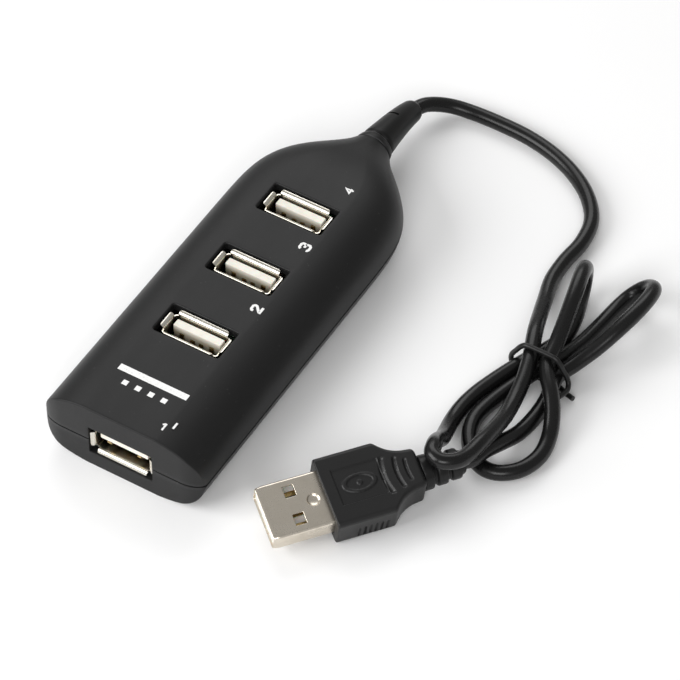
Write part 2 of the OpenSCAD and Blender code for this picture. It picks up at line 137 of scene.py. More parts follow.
def tidy_normals(obj):
    bm = bmesh.new()
    bm.from_mesh(obj.data)
    bmesh.ops.recalc_face_normals(bm, faces=bm.faces)
    bm.to_mesh(obj.data)
    bm.free()


def join(name, parts):
    """One mesh from (points, faces) pairs."""
    points, faces = [], []
    for part_points, part_faces in parts:
        base = len(points)
        points += [Vector(p) for p in part_points]
        faces += [[base + i for i in face] for face in part_faces]
    return mesh_object(name, points, faces)


def skin(loops, caps=True):
    """(points, faces) of a closed solid through loops of the same number of points."""
    count = len(loops[0])
    points = [p for loop in loops for p in loop]
    faces = []
    for i in range(len(loops) - 1):
        for k in range(count):
            a = i * count + k
            b = i * count + (k + 1) % count
            faces.append([a, b, b + count, a + count])
    if caps:
        faces.append(list(range(count))[::-1])
        last = (len(loops) - 1) * count
        faces.append(list(range(last, last + count)))
    return points, faces


def ring_skin(loops):
    """(points, faces) of a ring: the loops close on each other, with no caps."""
    points, faces = skin(loops, caps=False)
    count = len(loops[0])
    last = (len(loops) - 1) * count
    for k in range(count):
        faces.append([last + k, last + (k + 1) % count, (k + 1) % count, k])
    return points, faces


def slab(front, back):
    """(points, faces) of a sheet between two grids of points of the same size."""
    rows = len(front)
    cols = len(front[0])
    total = rows * cols
    points = [p for row in front for p in row] + [p for row in back for p in row]
    faces = []
    for i in range(rows - 1):
        for j in range(cols - 1):
            a = i * cols + j
            quad = [a, a + 1, a + cols + 1, a + cols]
            faces.append(quad)
            faces.append([total + q for q in reversed(quad)])
    edge = list(range(cols))
    edge += [i * cols + cols - 1 for i in range(1, rows)]
    edge += [(rows - 1) * cols + j for j in range(cols - 2, -1, -1)]
    edge += [i * cols for i in range(rows - 2, 0, -1)]
    for k, a in enumerate(edge):
        b = edge[(k + 1) % len(edge)]
        faces.append([a, total + a, total + b, b])
    return points, faces


def cutter(loops):
    """A closed solid to take out of another one."""
    return mesh_object("cutter", *skin(loops))


def offset(x=0, y=0, z=0, place=Vector):
    """The frame of place, moved along its own axes."""
    return lambda p: place((x + p[0], y + p[1], z + p[2]))


def moved(part, place):
    points, faces = part
    return [place(p) for p in points], faces


def rounded_loop(w, h, r, steps=6):
    """Points round a w by h rectangle whose corners have radius r, as (x, y) pairs."""
    loop = []
    r = min(r, w / 2 - 1e-4, h / 2 - 1e-4)
    corners = [(1, 1, 0), (-1, 1, 90), (-1, -1, 180), (1, -1, 270)]
    for sx, sy, start in corners:
        cx, cy = sx * (w / 2 - r), sy * (h / 2 - r)
        for k in range(steps + 1):
            a = math.radians(start + 90 * k / steps)
            loop.append((cx + r * math.cos(a), cy + r * math.sin(a)))
    return loop


def circle(r, steps):
    return [(r * math.cos(2 * math.pi * k / steps), r * math.sin(2 * math.pi * k / steps))
            for k in range(steps)]


def turned(stops, place, steps):
    """Loops of a turned solid round the local z axis: stops are (radius, z)."""
    return [[place((x, y, z)) for x, y in circle(r, steps)] for r, z in stops]


def flared(w, h, corner, stops, place, steps=6):
    """Loops of a solid along the local z axis: stops are (how far it widens, z)."""
    return [[place((x, y, z)) for x, y in rounded_loop(w + 2 * out, h + 2 * out, corner + out, steps)]
            for out, z in stops]


def table_value(table, x):
    """Reads a table of (position, value) rows, with straight lines between them."""
    for (x0, v0), (x1, v1) in zip(table, table[1:]):
        if x <= x1:
            return v0 + (v1 - v0) * max(0.0, (x - x0) / (x1 - x0))
    return table[-1][1]


def spread(start, end, count, power=1.0):
    return [start + (end - start) * (k / count) ** power for k in range(count + 1)]


def smooth_path(points, per_span):
    """A curve through all the points: a Catmull-Rom spline."""
    p = [Vector(q) for q in points]
    p = [2 * p[0] - p[1]] + p + [2 * p[-1] - p[-2]]
    path = []
    for i in range(1, len(p) - 2):
        for k in range(per_span):
            t = k / per_span
            path.append(0.5 * (2 * p[i] + (p[i + 1] - p[i - 1]) * t
                               + (2 * p[i - 1] - 5 * p[i] + 4 * p[i + 1] - p[i + 2]) * t * t
                               + (3 * p[i] - p[i - 1] - 3 * p[i + 1] + p[i + 2]) * t ** 3))
    path.append(p[-2])
    return path


def tube(path, radius, sides):
    """(points, faces) of a tube along path. radius(i) is its radius at point i."""
    n = len(path)
    loops = []
    normal = None
    for i in range(n):
        along = (path[min(i + 1, n - 1)] - path[max(i - 1, 0)]).normalized()
        if normal is None:
            normal = along.cross(Vector((0, 0, 1))).normalized()
        normal = (normal - along * normal.dot(along)).normalized()
        other = along.cross(normal)
        r = radius(i)
        loops.append([path[i] + normal * x * r + other * y * r for x, y in circle(1, sides)])
    return skin(loops)


def baked(obj):
    """Applies obj's modifiers to its mesh."""
    shown = obj.evaluated_get(bpy.context.evaluated_depsgraph_get())
    mesh = bpy.data.meshes.new_from_object(shown)
    obj.modifiers.clear()
    obj.data = mesh
    return obj


def cut(obj, cutters):
    """Takes the cutters out of obj."""
    for tool in cutters:
        modifier = obj.modifiers.new("cut", "BOOLEAN")
        modifier.operation = "DIFFERENCE"
        modifier.solver = "EXACT"
        modifier.object = tool
        baked(obj)
        bpy.data.objects.remove(tool)
    return obj


def weld(obj, distance=0.0005):
    bm = bmesh.new()
    bm.from_mesh(obj.data)
    bmesh.ops.remove_doubles(bm, verts=bm.verts, dist=distance * MM)
    bmesh.ops.dissolve_degenerate(bm, edges=bm.edges, dist=distance * MM)
    bm.to_mesh(obj.data)
    bm.free()
    return obj


def shade(obj, degrees=32, weighted=True):
    """Smooth shading that breaks at edges sharper than the angle."""
    obj.data.shade_smooth()
    obj.data.set_sharp_from_angle(angle=math.radians(degrees))
    if weighted:
        modifier = obj.modifiers.new("normals", "WEIGHTED_NORMAL")
        modifier.keep_sharp = True
    return obj


def piece(obj, material, slot, *nodes, degrees=32, weighted=True):
    """Finishes a new piece: shading, material, body and the nodes it stands for. The slot argument is
    not used.
    """
    shade(obj, degrees, weighted)
    obj.data.materials.clear()
    obj.data.materials.append(material)
    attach(obj, ROOT)
    if nodes:
        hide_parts(*nodes)
    return obj


# ---- materials ----

class Graph:
    """A new material, with short names for adding nodes to it."""

    def __init__(self, name, **values):
        self.material = bpy.data.materials.new(name)
        self.material.use_nodes = True
        self.tree = self.material.node_tree
        self.shader = self.tree.nodes["Principled BSDF"]
        for socket, value in values.items():
            self.shader.inputs[socket.replace("_", " ")].default_value = value
        self.place = self.node("ShaderNodeTexCoord").outputs["Object"]

    def node(self, kind, values=None, **props):
        made = self.tree.nodes.new(kind)
        for name, value in props.items():
            setattr(made, name, value)
        for socket, value in (values or {}).items():
            if isinstance(value, bpy.types.NodeSocket):
                self.tree.links.new(value, made.inputs[socket])
            else:
                made.inputs[socket].default_value = value
        return made

    def finish(self, *looks):
        """Links colour, roughness, normal and metallic, as far as given; returns the material."""
        for value, socket in zip(looks, ("Base Color", "Roughness", "Normal", "Metallic")):
            self.tree.links.new(value, self.shader.inputs[socket])
        return self.material

    def stretched(self, *scale):
        return self.node("ShaderNodeMapping", {
            "Vector": self.place, "Scale": scale,
        }).outputs["Vector"]

    def noise(self, size_mm, detail=3.0, roughness=0.5, place=None):
        """Noise from 0 to 1 whose blobs are about size_mm across."""
        return self.node("ShaderNodeTexNoise", {
            "Vector": place or self.place, "Scale": 1 / (size_mm * MM),
            "Detail": detail, "Roughness": roughness,
        }).outputs["Fac"]

    def cells(self, size_mm):
        return self.node("ShaderNodeTexVoronoi", {
            "Vector": self.place, "Scale": 1 / (size_mm * MM),
        }).outputs["Distance"]

    def ramp(self, value, *stops):
        """stops are (position, grey or colour)."""
        made = self.node("ShaderNodeValToRGB", {"Fac": value})
        elements = made.color_ramp.elements
        while len(elements) < len(stops):
            elements.new(0.5)
        for element, (position, colour) in zip(elements, stops):
            element.position = position
            if not isinstance(colour, tuple):
                colour = (colour, colour, colour)
            element.color = (*colour, 1)
        return made.outputs["Color"]

    def scale(self, value, low, high, start=0.0, end=1.0):
        """Turns the range from start to end into the range from low to high."""
        return self.node("ShaderNodeMapRange", {
            "Value": value, "From Min": start, "From Max": end, "To Min": low, "To Max": high,
        }).outputs["Result"]

    def mix(self, fac, a, b):
        a, b = [(*c, 1) if isinstance(c, tuple) else c for c in (a, b)]
        return self.node("ShaderNodeMix", {0: fac, 6: a, 7: b}, data_type="RGBA").outputs[2]

    def math(self, operation, a, b=0.0):
        return self.node("ShaderNodeMath", {0: a, 1: b}, operation=operation).outputs[0]

    def times(self, a, b):
        return self.math("MULTIPLY", a, b)

    def blend(self, a, share_a, b, share_b):
        return self.math("ADD", self.times(a, share_a), self.times(b, share_b))

    def worn_and_sheen_edges(self):
        """1 on the outward edges of the mesh, 0 elsewhere: a mask for edge wear and for a painted
        edge highlight.
        """
        point = self.node("ShaderNodeNewGeometry").outputs["Pointiness"]
        return self.ramp(point, (0.525, 0.0), (0.58, 1.0))

    def painted_port_shade(self):
        """Mask for painted shade in the receptacles: 0 at their mouths, 1 a few millimetres inside
        them.
        """
        axes = self.node("ShaderNodeSeparateXYZ", {0: self.place}).outputs
        under_roof = self.math("SUBTRACT", MOUTH_Z * MM, axes[2])
        behind_front = self.math("SUBTRACT", axes[1], FRONT_MOUTH_Y * MM)
        depth = self.math("MINIMUM", under_roof, behind_front)
        return self.scale(depth, 0.0, 1.0, 0.9 * MM, 2.6 * MM)

    def bump(self, height, depth_mm, strength=1.0, normal=None):
        values = {"Height": height, "Distance": depth_mm * MM, "Strength": strength}
        if normal is not None:
            values["Normal"] = normal
        return self.node("ShaderNodeBump", values).outputs["Normal"]


def moulded(name, dark, light, rough, grain_mm, grain_depth, shine=0.5, speck=0.0):
    """Moulded plastic or PVC: spark-eroded grain, soft blotches, dust specks, rubbed edges that are
    glossier and lighter in colour, as wear and as a painted highlight.
    """
    g = Graph(name, Specular_IOR_Level=shine)
    blotch = g.noise(9, 3)
    fine = g.noise(grain_mm, 3, 0.6)
    colour = g.mix(g.scale(blotch, 0.2, 0.8), dark, light)
    # Outward edges lighter in colour: partly rubbed wear, partly a painted highlight.
    colour = g.mix(g.times(g.worn_and_sheen_edges(), 0.4), colour, tuple(4.0 * c for c in light))
    if speck:
        dots = g.ramp(g.cells(1.1), (0.0, 1.0), (0.09, 0.0))
        patch = g.ramp(g.noise(2.3, 1), (0.52, 0.0), (0.6, 1.0))
        dots = g.times(g.times(dots, patch), speck)
        colour = g.mix(dots, colour, (0.22, 0.22, 0.21))
    smear = g.noise(5, 4, 0.65, g.stretched(1, 0.25, 1))
    mottle = g.scale(g.blend(smear, 0.6, fine, 0.4), rough - 0.1, rough + 0.1)
    polish = g.times(g.worn_and_sheen_edges(), 0.16)
    grain = g.bump(fine, grain_depth)
    return g.finish(colour, g.math("SUBTRACT", mottle, polish),
                    g.bump(g.noise(3.5, 2), grain_depth * 1.5, 0.35, grain))


def plated(name, bright, dull, rough, grain=(1, 1, 1), scratch=0.004, port_shade_colour=None):
    """Plated sheet metal: rolling grain, fine scratches, tarnish in blotches.

    The last argument is the colour of the shade painted inside the receptacles, reached a few
    millimetres in."""
    g = Graph(name, Metallic=1.0)
    stain = g.noise(2.6, 4, 0.6)
    lines = g.noise(0.16, 2, 0.6, g.stretched(*grain))
    colour = g.mix(g.ramp(stain, (0.35, 0.0), (0.7, 1.0)), bright, dull)
    colour = g.mix(g.scale(lines, 0.0, 0.4), colour, tuple(0.7 * c for c in dull))
    # Painted shade: darker inside the receptacles.
    if port_shade_colour:
        colour = g.mix(g.painted_port_shade(), colour, port_shade_colour)
    haze = g.blend(stain, 0.5, lines, 0.5)
    dents = g.bump(g.noise(1.4, 2), 0.006, 0.6)
    return g.finish(colour, g.scale(haze, rough - 0.08, rough + 0.12),
                    g.bump(lines, scratch, 1.0, dents))


def glossy(name, base, shade_colour, rough, blotch_mm=1.5, depth=0.004, waxy=0.0, port_shade_colour=None):
    """Fine moulded parts and sleeves: near-even colour with flow marks and dust."""
    g = Graph(name, Subsurface_Weight=waxy, Subsurface_Scale=0.3 * MM)
    flow = g.noise(blotch_mm, 3, 0.55)
    fine = g.noise(blotch_mm * 0.12, 2)
    colour = g.mix(g.ramp(flow, (0.35, 0.0), (0.75, 1.0)), base, shade_colour)
    # Painted shade: darker inside the receptacles.
    if port_shade_colour:
        colour = g.mix(g.painted_port_shade(), colour, port_shade_colour)
    else:
        colour = g.mix(g.times(g.worn_and_sheen_edges(), 0.15), colour, (0.7, 0.68, 0.62))
    return g.finish(colour, g.scale(fine, rough - 0.07, rough + 0.1),
                    g.bump(fine, depth, 1.0, g.bump(flow, depth * 2, 0.5)))


def laminate(name):
    """Circuit board: green mask over copper tracks on a square grid, with tinned vias."""
    g = Graph(name)
    mask = g.mix(g.scale(g.noise(6, 3), 0.0, 1.0), (0.006, 0.085, 0.03), (0.012, 0.14, 0.05))
    tracks = g.node("ShaderNodeTexBrick", {
        "Vector": g.place, "Scale": 1 / (1.9 * MM), "Mortar Size": 0.07, "Bias": -1.0,
        "Brick Width": 1.0, "Row Height": 0.5,
    }).outputs["Fac"]
    patch = g.ramp(g.noise(4.5, 1), (0.46, 0.0), (0.5, 1.0))
    tracks = g.times(tracks, patch)
    colour = g.mix(tracks, mask, (0.03, 0.24, 0.09))
    vias = g.ramp(g.cells(2.7), (0.1, 1.0), (0.14, 0.0))
    colour = g.mix(vias, colour, (0.55, 0.53, 0.46))
    return g.finish(colour, g.scale(g.noise(0.5, 2), 0.25, 0.42),
                    g.bump(g.blend(tracks, 0.5, vias, 0.7), 0.03), vias)


def printed(name):
    """White pad-printed ink: a little uneven, thin in places."""
    g = Graph(name)
    thin = g.ramp(g.noise(0.35, 4, 0.7), (0.3, 0.0), (0.45, 1.0))
    return g.finish(g.mix(thin, (0.6, 0.6, 0.6), (0.87, 0.87, 0.86)),
                    g.scale(g.noise(0.3, 2), 0.45, 0.65), g.bump(thin, 0.006))


CASE = moulded("case_black", (0.0085, 0.0085, 0.0087), (0.0125, 0.0125, 0.0127), 0.43,
               0.3, 0.012, 0.24, speck=0.5)
PVC = moulded("cord_black", (0.004, 0.004, 0.004), (0.006, 0.006, 0.006), 0.27, 0.9, 0.008, 0.33)
BOOT = moulded("boot_black", (0.004, 0.004, 0.004), (0.006, 0.006, 0.006), 0.42, 0.5, 0.01, 0.24)
GRIP = moulded("grip_black", (0.007, 0.007, 0.0072), (0.011, 0.011, 0.011), 0.42, 0.28, 0.02, 0.35)
TIE = moulded("tie_black", (0.005, 0.005, 0.005), (0.008, 0.008, 0.008), 0.4, 0.4, 0.01, 0.35)
# TIN's last colour is painted shade inside the receptacles.
TIN = plated("port_metal", (0.86, 0.83, 0.76), (0.72, 0.68, 0.58), 0.22, (1, 1, 0.2),
             port_shade_colour=(0.15, 0.125, 0.085))
NICKEL = plated("plug_metal", (0.82, 0.755, 0.655), (0.70, 0.64, 0.545), 0.27, (0.35, 1.2, 1))
GOLD = plated("contact_gold", (0.80, 0.60, 0.27), (0.55, 0.39, 0.17), 0.26)
TINNED = plated("tinned_legs", (0.78, 0.78, 0.77), (0.62, 0.62, 0.61), 0.3)
CRYSTAL = plated("crystal_can", (0.82, 0.82, 0.8), (0.66, 0.66, 0.64), 0.24, (0.3, 1, 1))
SOLDER = plated("solder", (0.74, 0.74, 0.76), (0.56, 0.56, 0.58), 0.33)
# IVORY's last colour is painted shade inside the receptacles.
IVORY = glossy("tongue_ivory", (0.86, 0.84, 0.77), (0.79, 0.76, 0.67), 0.42, waxy=0.15,
               port_shade_colour=(0.45, 0.41, 0.32))
PLUG_WHITE = glossy("plug_white", (0.87, 0.86, 0.82), (0.79, 0.78, 0.73), 0.4, waxy=0.15)
CHIP = glossy("chip_black", (0.012, 0.012, 0.013), (0.02, 0.02, 0.02), 0.55, 1.0, 0.01)
SLEEVE = glossy("capacitor_sleeve", (0.010, 0.012, 0.06), (0.014, 0.016, 0.08), 0.3, 2.0)
TAN = glossy("ceramic_tan", (0.42, 0.30, 0.17), (0.34, 0.23, 0.13), 0.5, 0.8, 0.006)
RESISTOR = glossy("resistor_black", (0.012, 0.012, 0.014), (0.03, 0.03, 0.03), 0.35, 0.6)
BOARD = laminate("board_green")
INK = printed("ink_white")
WIRE_RED = glossy("wire_red", (0.55, 0.02, 0.02), (0.42, 0.015, 0.015), 0.35, 2.0)
WIRE_WHITE = glossy("wire_white", (0.82, 0.82, 0.8), (0.74, 0.74, 0.72), 0.35, 2.0)
WIRE_GREEN = glossy("wire_green", (0.02, 0.28, 0.06), (0.015, 0.2, 0.045), 0.35, 2.0)
WIRE_BLACK = glossy("wire_black", (0.012, 0.012, 0.012), (0.022, 0.022, 0.022), 0.35, 2.0)


# ---- lead ----

CORD_D = 3.3
TIE_D = 1.1
LIE = 1.8
BOOT_TIP = (0, 64.5, 5)
PLUG_AT = Vector((39.2, -37, 5.5))
PLUG_ROLL = math.radians(-12.3)
PLUG_YAW = math.radians(231.4)
RELIEF_END = 29
PLUG_DIR = Vector((math.cos(PLUG_YAW), math.sin(PLUG_YAW), 0))
TO_BUNDLE = [
    (1.5, 68, 4.5), (5, 71.5, 3), (10, 73.2, 2), (17, 73.5, LIE), (24, 73, LIE),
    (31, 71.3, LIE), (37.5, 68.3, LIE), (43, 64, LIE), (46.8, 58.5, LIE), (48, 52, LIE),
    (47.5, 45.5, LIE), (47.8, 39.5, 2), (49.5, 33.5, 2.8), (51.3, 27.8, 4.4),
    (53.3, 22, 6.1), (55.6, 16, 6.3), (57.2, 10.5, 5.9), (58.2, 5, 5.6),
    (59, -0.5, 6.3), (59.4, -6, 8), (59.4, -11, 9.4),
]
FOLD_OVER_RELIEF = [
    (59, -15.4, 9.9), (58, -18.6, 10.6), (55.6, -20.4, 11), (53.3, -19.6, 11),
    (52.3, -17.2, 10.4), (51.4, -14.5, 8.3), (51, -11.6, 5.9), (50, -8.2, 3.8),
]
UNDER_TO_NARROW_FOLD = [
    (49, -4, 2.2), (48.8, 0.5, LIE), (49.5, 5, LIE), (51.2, 10, 2.2), (53.9, 16, 3),
    (56, 21.5, 2.4), (57.4, 27, LIE), (56.9, 32.5, LIE), (55.5, 37.5, 2),
]
NARROW_FOLD = [
    (54.6, 40.6, 3.4), (54.3, 41.6, 6.2), (54.7, 40.2, 9), (55.6, 36.8, 10.4),
    (56.9, 31.5, 10.2), (58, 26, 8.8), (58.8, 21, 7.2), (59.5, 16, 6.3),
]
ROUND_LOOP = [
    (61.3, 12.8, 6), (63.7, 9.8, 5.5), (66, 6.3, 4.2), (67.6, 2.3, 2.4), (68.2, -2.5, LIE),
    (66.8, -7.3, LIE), (63.6, -10.4, LIE), (60, -11, LIE), (56.4, -9, LIE), (53.7, -5.2, LIE),
    (52.5, -0.8, LIE), (53.1, 4, LIE), (55, 10, 2.2), (57.6, 16, 3),
]
WIDE_FOLD = [
    (59.7, 21.5, 2.4), (61.2, 27.5, LIE), (62.2, 34, LIE), (62.9, 40, LIE), (64.2, 43.5, 2.9),
    (66.6, 44.8, 5.4), (69, 43.2, 8), (69.8, 39.5, 9.2), (69.4, 34.5, 9.2), (67.9, 29.5, 7.8),
    (65.7, 25, 5.4), (63.3, 20.5, 3.6), (61.6, 16, 3),
]
TO_PLUG = [
    (62.4, 11, 2), (62.5, 5.5, LIE), (61.9, 0, 2.2), (60.8, -5, 3.9), (59.6, -9.5, 5.4),
]
RELIEF_TIP = PLUG_AT - RELIEF_END * PLUG_DIR
CORD_ROUTE = (
    [BOOT_TIP] + TO_BUNDLE + FOLD_OVER_RELIEF + UNDER_TO_NARROW_FOLD + NARROW_FOLD
    + ROUND_LOOP + WIDE_FOLD + TO_PLUG + [RELIEF_TIP - 2.2 * PLUG_DIR, RELIEF_TIP]
)
TIE_ROUTE = [
    (66.5, 14.3, 1.1), (64.6, 15, 0.8), (62.8, 15.8, 0.65), (61, 16, 0.65), (57, 16, 0.65),
    (53.6, 16, 0.65), (52.2, 16, 1.1), (51.4, 16, 2.2), (51.3, 16, 3.6), (51.6, 16, 4.6),
    (52.4, 16, 6), (53.2, 16, 7.4), (54.2, 16, 8.4), (55.6, 16, 8.65), (59.7, 16, 8.65),
    (61.2, 16, 8.4), (62.2, 16, 7.4), (63, 16, 6), (63.9, 16, 4.6), (64.6, 15.6, 3.4),
    (65, 14.6, 2.9), (65, 13.2, 3), (64.6, 11.6, 3.3),
]


def path_length(path):
    return sum((b - a).length for a, b in zip(path, path[1:]))


def make_cord():
    path = smooth_path(CORD_ROUTE, 5)
    obj = mesh_object("lead_cord", *tube(path, lambda i: CORD_D / 2, 28))
    piece(obj, PVC, "cord_black", "cord", degrees=50, weighted=False)
    return obj, path


def make_tie():
    path = smooth_path(TIE_ROUTE, 6)
    obj = mesh_object("lead_tie", *tube(path, lambda i: TIE_D / 2, 16))
    return piece(obj, TIE, "tie_black", "twist_tie", degrees=50, weighted=False)


cord, cord_path = make_cord()
tie = make_tie()


# ---- case ----

FRONT_FILLET = 0.4       # between the front face and the shells
FRONT_ZONE_END = FRONT_Y + CORNER_L + 1.2
OPENING_FILLET = 0.4
FRONT_OPENING_FILLET = 0.18
RIM_STEP = 0.36           # how far the shells' rims step back along the parting line
RIM_TOP = 0.3             # where the rim's profile ends, above or below the parting line
CAVITY_SKIRT = 0.5
RIM_SHARES = (0.0, 0.5, 0.62)   # where the groove's profile bends, as shares of its height


def tail(y, power):
    if y <= TAIL_Y:
        return 1.0
    share = min(1.0, (y - TAIL_Y) / (NECK_Y - TAIL_Y))
    return (1 + math.cos(math.pi * share ** power)) / 2


def seam_z(y):
    return PARTING_Z + NECK_RISE * (1 - tail(y, ROOF_POWER))


def half_width(y):
    return NECK_R + (CASE_W / 2 - NECK_R) * tail(y, TAIL_POWER)


def shell_height(y, up):
    full = CASE_H - PARTING_Z if up > 0 else PARTING_Z
    return NECK_R + (full - NECK_R) * tail(y, ROOF_POWER)


def rim_step(z):
    """How far a shell's surface steps in at height z over the parting line."""
    groove, lip_start = RIM_TOP * RIM_SHARES[1], RIM_TOP * RIM_SHARES[2]
    return table_value([(0.0, RIM_STEP), (groove, RIM_STEP), (lip_start, 0.1), (RIM_TOP, 0.0)], z)


def case_profile(y, up, inset, rim=True, steps=30):
    """Half section of the case: (x, z) points from rim to rim, z measured from the seam.

    Without a rim it starts a skirt's height below the seam, as a cavity has to."""
    s = tail(y, ROOF_POWER)
    power = 2 + ((ROOF_ROUND if up > 0 else BELLY_ROUND) - 2) * s
    h = shell_height(y, up) - inset
    w = half_width(y) - inset
    flat = 1 - (1 - FLAT_SHARE) * max(s, 0.05)
    top = math.asin(flat ** (power / 2))
    end = math.atan2(math.sin(top) ** (2 / power), math.cos(top) ** (2 / power))
    start = math.atan(RIM_TOP * flat / h) if rim else 0.0
    side = []
    for k in range(steps + 1):
        turn = start + (end - start) * k / steps
        c, d = math.cos(turn), math.sin(turn)
        r = (c ** power + d ** power) ** (-1 / power)
        z = r * d / flat
        side.append((w * r * c * (1 - DRAFT * z), h * z))
    if rim:
        side = [(side[0][0], RIM_TOP * share) for share in RIM_SHARES] + side
    else:
        side = [(side[0][0], -CAVITY_SKIRT)] + side
    crown, height = side[-1]
    middle = [(crown * (1 - k / 5), height) for k in range(1, 10)]
    return side + middle + [(-x, z) for x, z in side[::-1]]


def case_section(y, up, inset, rim=True, steps=30):
    """One section of a shell, as points in space."""
    points = []
    for x, z in case_profile(y, up, inset, rim, steps):
        step = rim_step(z) if rim else 0.0
        points.append((x - math.copysign(step, x), y, seam_z(y) + up * z))
    return points


def front_wall(x):
    """Where the front face stands at x, and which way it faces in plan."""
    share = min(1.0, max(0.0, (CASE_W / 2 - abs(x)) / CORNER_W))
    across = 1 - share
    along = math.sqrt(max(0.0, 1 - across ** 2))
    facing = Vector((math.copysign(across / CORNER_W, x), -along / CORNER_L)).normalized()
    return FRONT_Y + CORNER_L * (1 - along), facing


def front_loops(up):
    """The front face from the parting line up, its rounded edge, and the first bit of roof."""
    profile = case_profile(FRONT_Y, up, 0)
    rows = []
    for x, z in profile:
        wall_y, facing = front_wall(x)
        foot = min(RIM_TOP, z)
        fillet = min(FRONT_FILLET, 0.9 * (z - foot))
        inward = rim_step(z)
        row = []
        for height in [RIM_TOP * share for share in RIM_SHARES] + [RIM_TOP]:
            low = min(height, z)
            step = rim_step(low)
            row.append((x - step * facing.x, wall_y - step * facing.y, low))
        edge_x, edge_y = x - inward * facing.x, wall_y - inward * facing.y
        edge = max(foot, z - fillet)
        for share in (0.25, 0.5, 0.8, 1.0):
            row.append((edge_x, edge_y, foot + (edge - foot) * share))
        for k in range(1, 7):
            t = k / 6
            row.append((edge_x, edge_y + fillet * t * t, z - fillet * (1 - t) ** 2))
        start = edge_y + fillet
        side_x = x - math.copysign(inward, x)
        for share in (0.08, 0.25, 0.55, 1.0):
            row.append((edge_x + (side_x - edge_x) * share,
                        start + (FRONT_ZONE_END - start) * share, z))
        rows.append(row)
    return [[(row[k][0], row[k][1], PARTING_Z + up * row[k][2]) for row in rows]
            for k in range(len(rows[0]))]


COLLAR = [                # distance from the neck's end, and inset: a groove, then a rounded end
    (-2.35, 0.02), (-2.2, 0.2), (-1.95, 0.26), (-1.7, 0.2), (-1.55, 0.02), (-1.3, -0.04),
    (-0.9, -0.05), (-0.5, 0.0), (-0.22, 0.1), (-0.06, 0.24), (0.0, 0.45),
]


def shell_loft(name, up):
    """The outside of a shell: front face, body, and the grooved collar of the neck."""
    loops = front_loops(up)
    ys = spread(FRONT_ZONE_END, TAIL_Y, 22)[1:]
    ys += spread(TAIL_Y, NECK_Y - 2.6, 46, 0.9)[1:]
    loops += [case_section(y, up, 0) for y in ys]
    loops += [case_section(NECK_Y + dy, up, inset) for dy, inset in COLLAR]
    return weld(mesh_object(name, *skin(loops)))


def cavity_loft(up):
    ys = spread(FRONT_Y + WALL, CAVITY_END_Y, 44, 0.92)
    loops = [case_section(y, up, WALL, rim=False, steps=16) for y in ys]
    return cutter(loops)


def flared_cutter(size, place, depth, fillet, corner):
    """A hole whose mouth, at local z = 0, opens out in a rounded lip."""
    stops = [(0.0, -depth)]
    for k in range(7):
        a = math.radians(12 * k)
        stops.append((fillet * (1 - math.cos(a)), -fillet * (1 - math.sin(a))))
    out, z = stops[-1]
    slope = math.tan(math.radians(72))
    stops.append((out + 0.5 * slope, z + 0.5))
    return cutter(flared(*size, corner, stops, place))


def front_place(p):
    """A frame that faces out of the case's front: local z is -y."""
    return Vector((p[0], -p[2], p[1]))


def neck_place(p):
    """The frame of the neck's bore: local z is the case's y."""
    return (p[0], p[2], NECK_Z + p[1])


def bore_cutter():
    return cutter(turned([(BORE_R, CAVITY_END_Y - 1), (BORE_R, NECK_Y + 2)], neck_place, 56))


def front_opening_cutter():
    place = offset(0, PARTING_Z, -FRONT_Y, front_place)
    return flared_cutter(FRONT_OPENING, place, WALL + 1.0, FRONT_OPENING_FILLET, 0.25)


def make_top_shell():
    obj = shell_loft("top_shell_looks", 1)
    cutters = [cavity_loft(1), bore_cutter(), front_opening_cutter()]
    for y in TOP_PORT_YS.values():
        place = offset(0, y, PARTING_Z + shell_height(y, 1))
        cutters.append(flared_cutter(TOP_OPENING, place, 6.0, OPENING_FILLET, 0.5))
    cut(obj, cutters)
    return piece(weld(obj), CASE, "case_black", "top_shell", degrees=34)


BOSS_SPOTS = [(-9.5, -32.2), (9.5, -32.2), (-9.5, 22.5), (9.5, 22.5)]
BOSS = [(2.25, 1.4), (2.05, 1.9), (2.0, BOARD_Z - 0.15), (1.85, BOARD_Z)]   # (radius, z)
PIN = [(0.9, 1.5), (0.9, BOARD_TOP - 0.5), (0.75, BOARD_TOP - 0.3)]
LABEL = (15, 34, 1.5)     # width, length and corner radius
LABEL_Y = -14


def label_recess():
    """A shallow blank panel in the belly, where such hubs carry their rating label."""
    stops = [(0.0, 0.16), (0.0, 0.05), (0.06, 0.0), (0.5, -0.4)]
    return cutter(flared(*LABEL, stops, offset(0, LABEL_Y)))


def make_bottom_shell():
    obj = shell_loft("bottom_shell_looks", -1)
    cut(obj, [cavity_loft(-1), bore_cutter(), front_opening_cutter(), label_recess()])
    weld(obj)
    posts = [skin(turned(stops, offset(*spot), 28)) for spot in BOSS_SPOTS for stops in (BOSS, PIN)]
    inner = join("bottom_shell_posts", posts)
    piece(inner, CASE, "case_black", degrees=34)
    return piece(obj, CASE, "case_black", "bottom_shell", degrees=34)


make_top_shell()
make_bottom_shell()


# ---- receptacles ----

TONGUE_W = 11.1
TONGUE_T = 1.84
TONGUE_FRONT = MOUTH_H / 2 - 0.5 - TONGUE_T
TONGUE_TIP = 1.1
BASE_T = 2.2
CONTACT_XS = (-3.5, -1, 1, 3.5)
LEG_W = 0.6
LEG_DROP = 0.7
LIP_LONG = 11.4
LIP_SHORT = 4
LIP_ROWS, LIP_COLS = 14, 21
LIP_CORNER = 0.42
TAB_X = MOUTH_W / 2 + SHEET / 2
TAB_W = 1.6
FLAT_TAB_DEPTH = 8
FINGER_X = 3
FINGER_W = 1.8
CHANNEL_W = 1.16


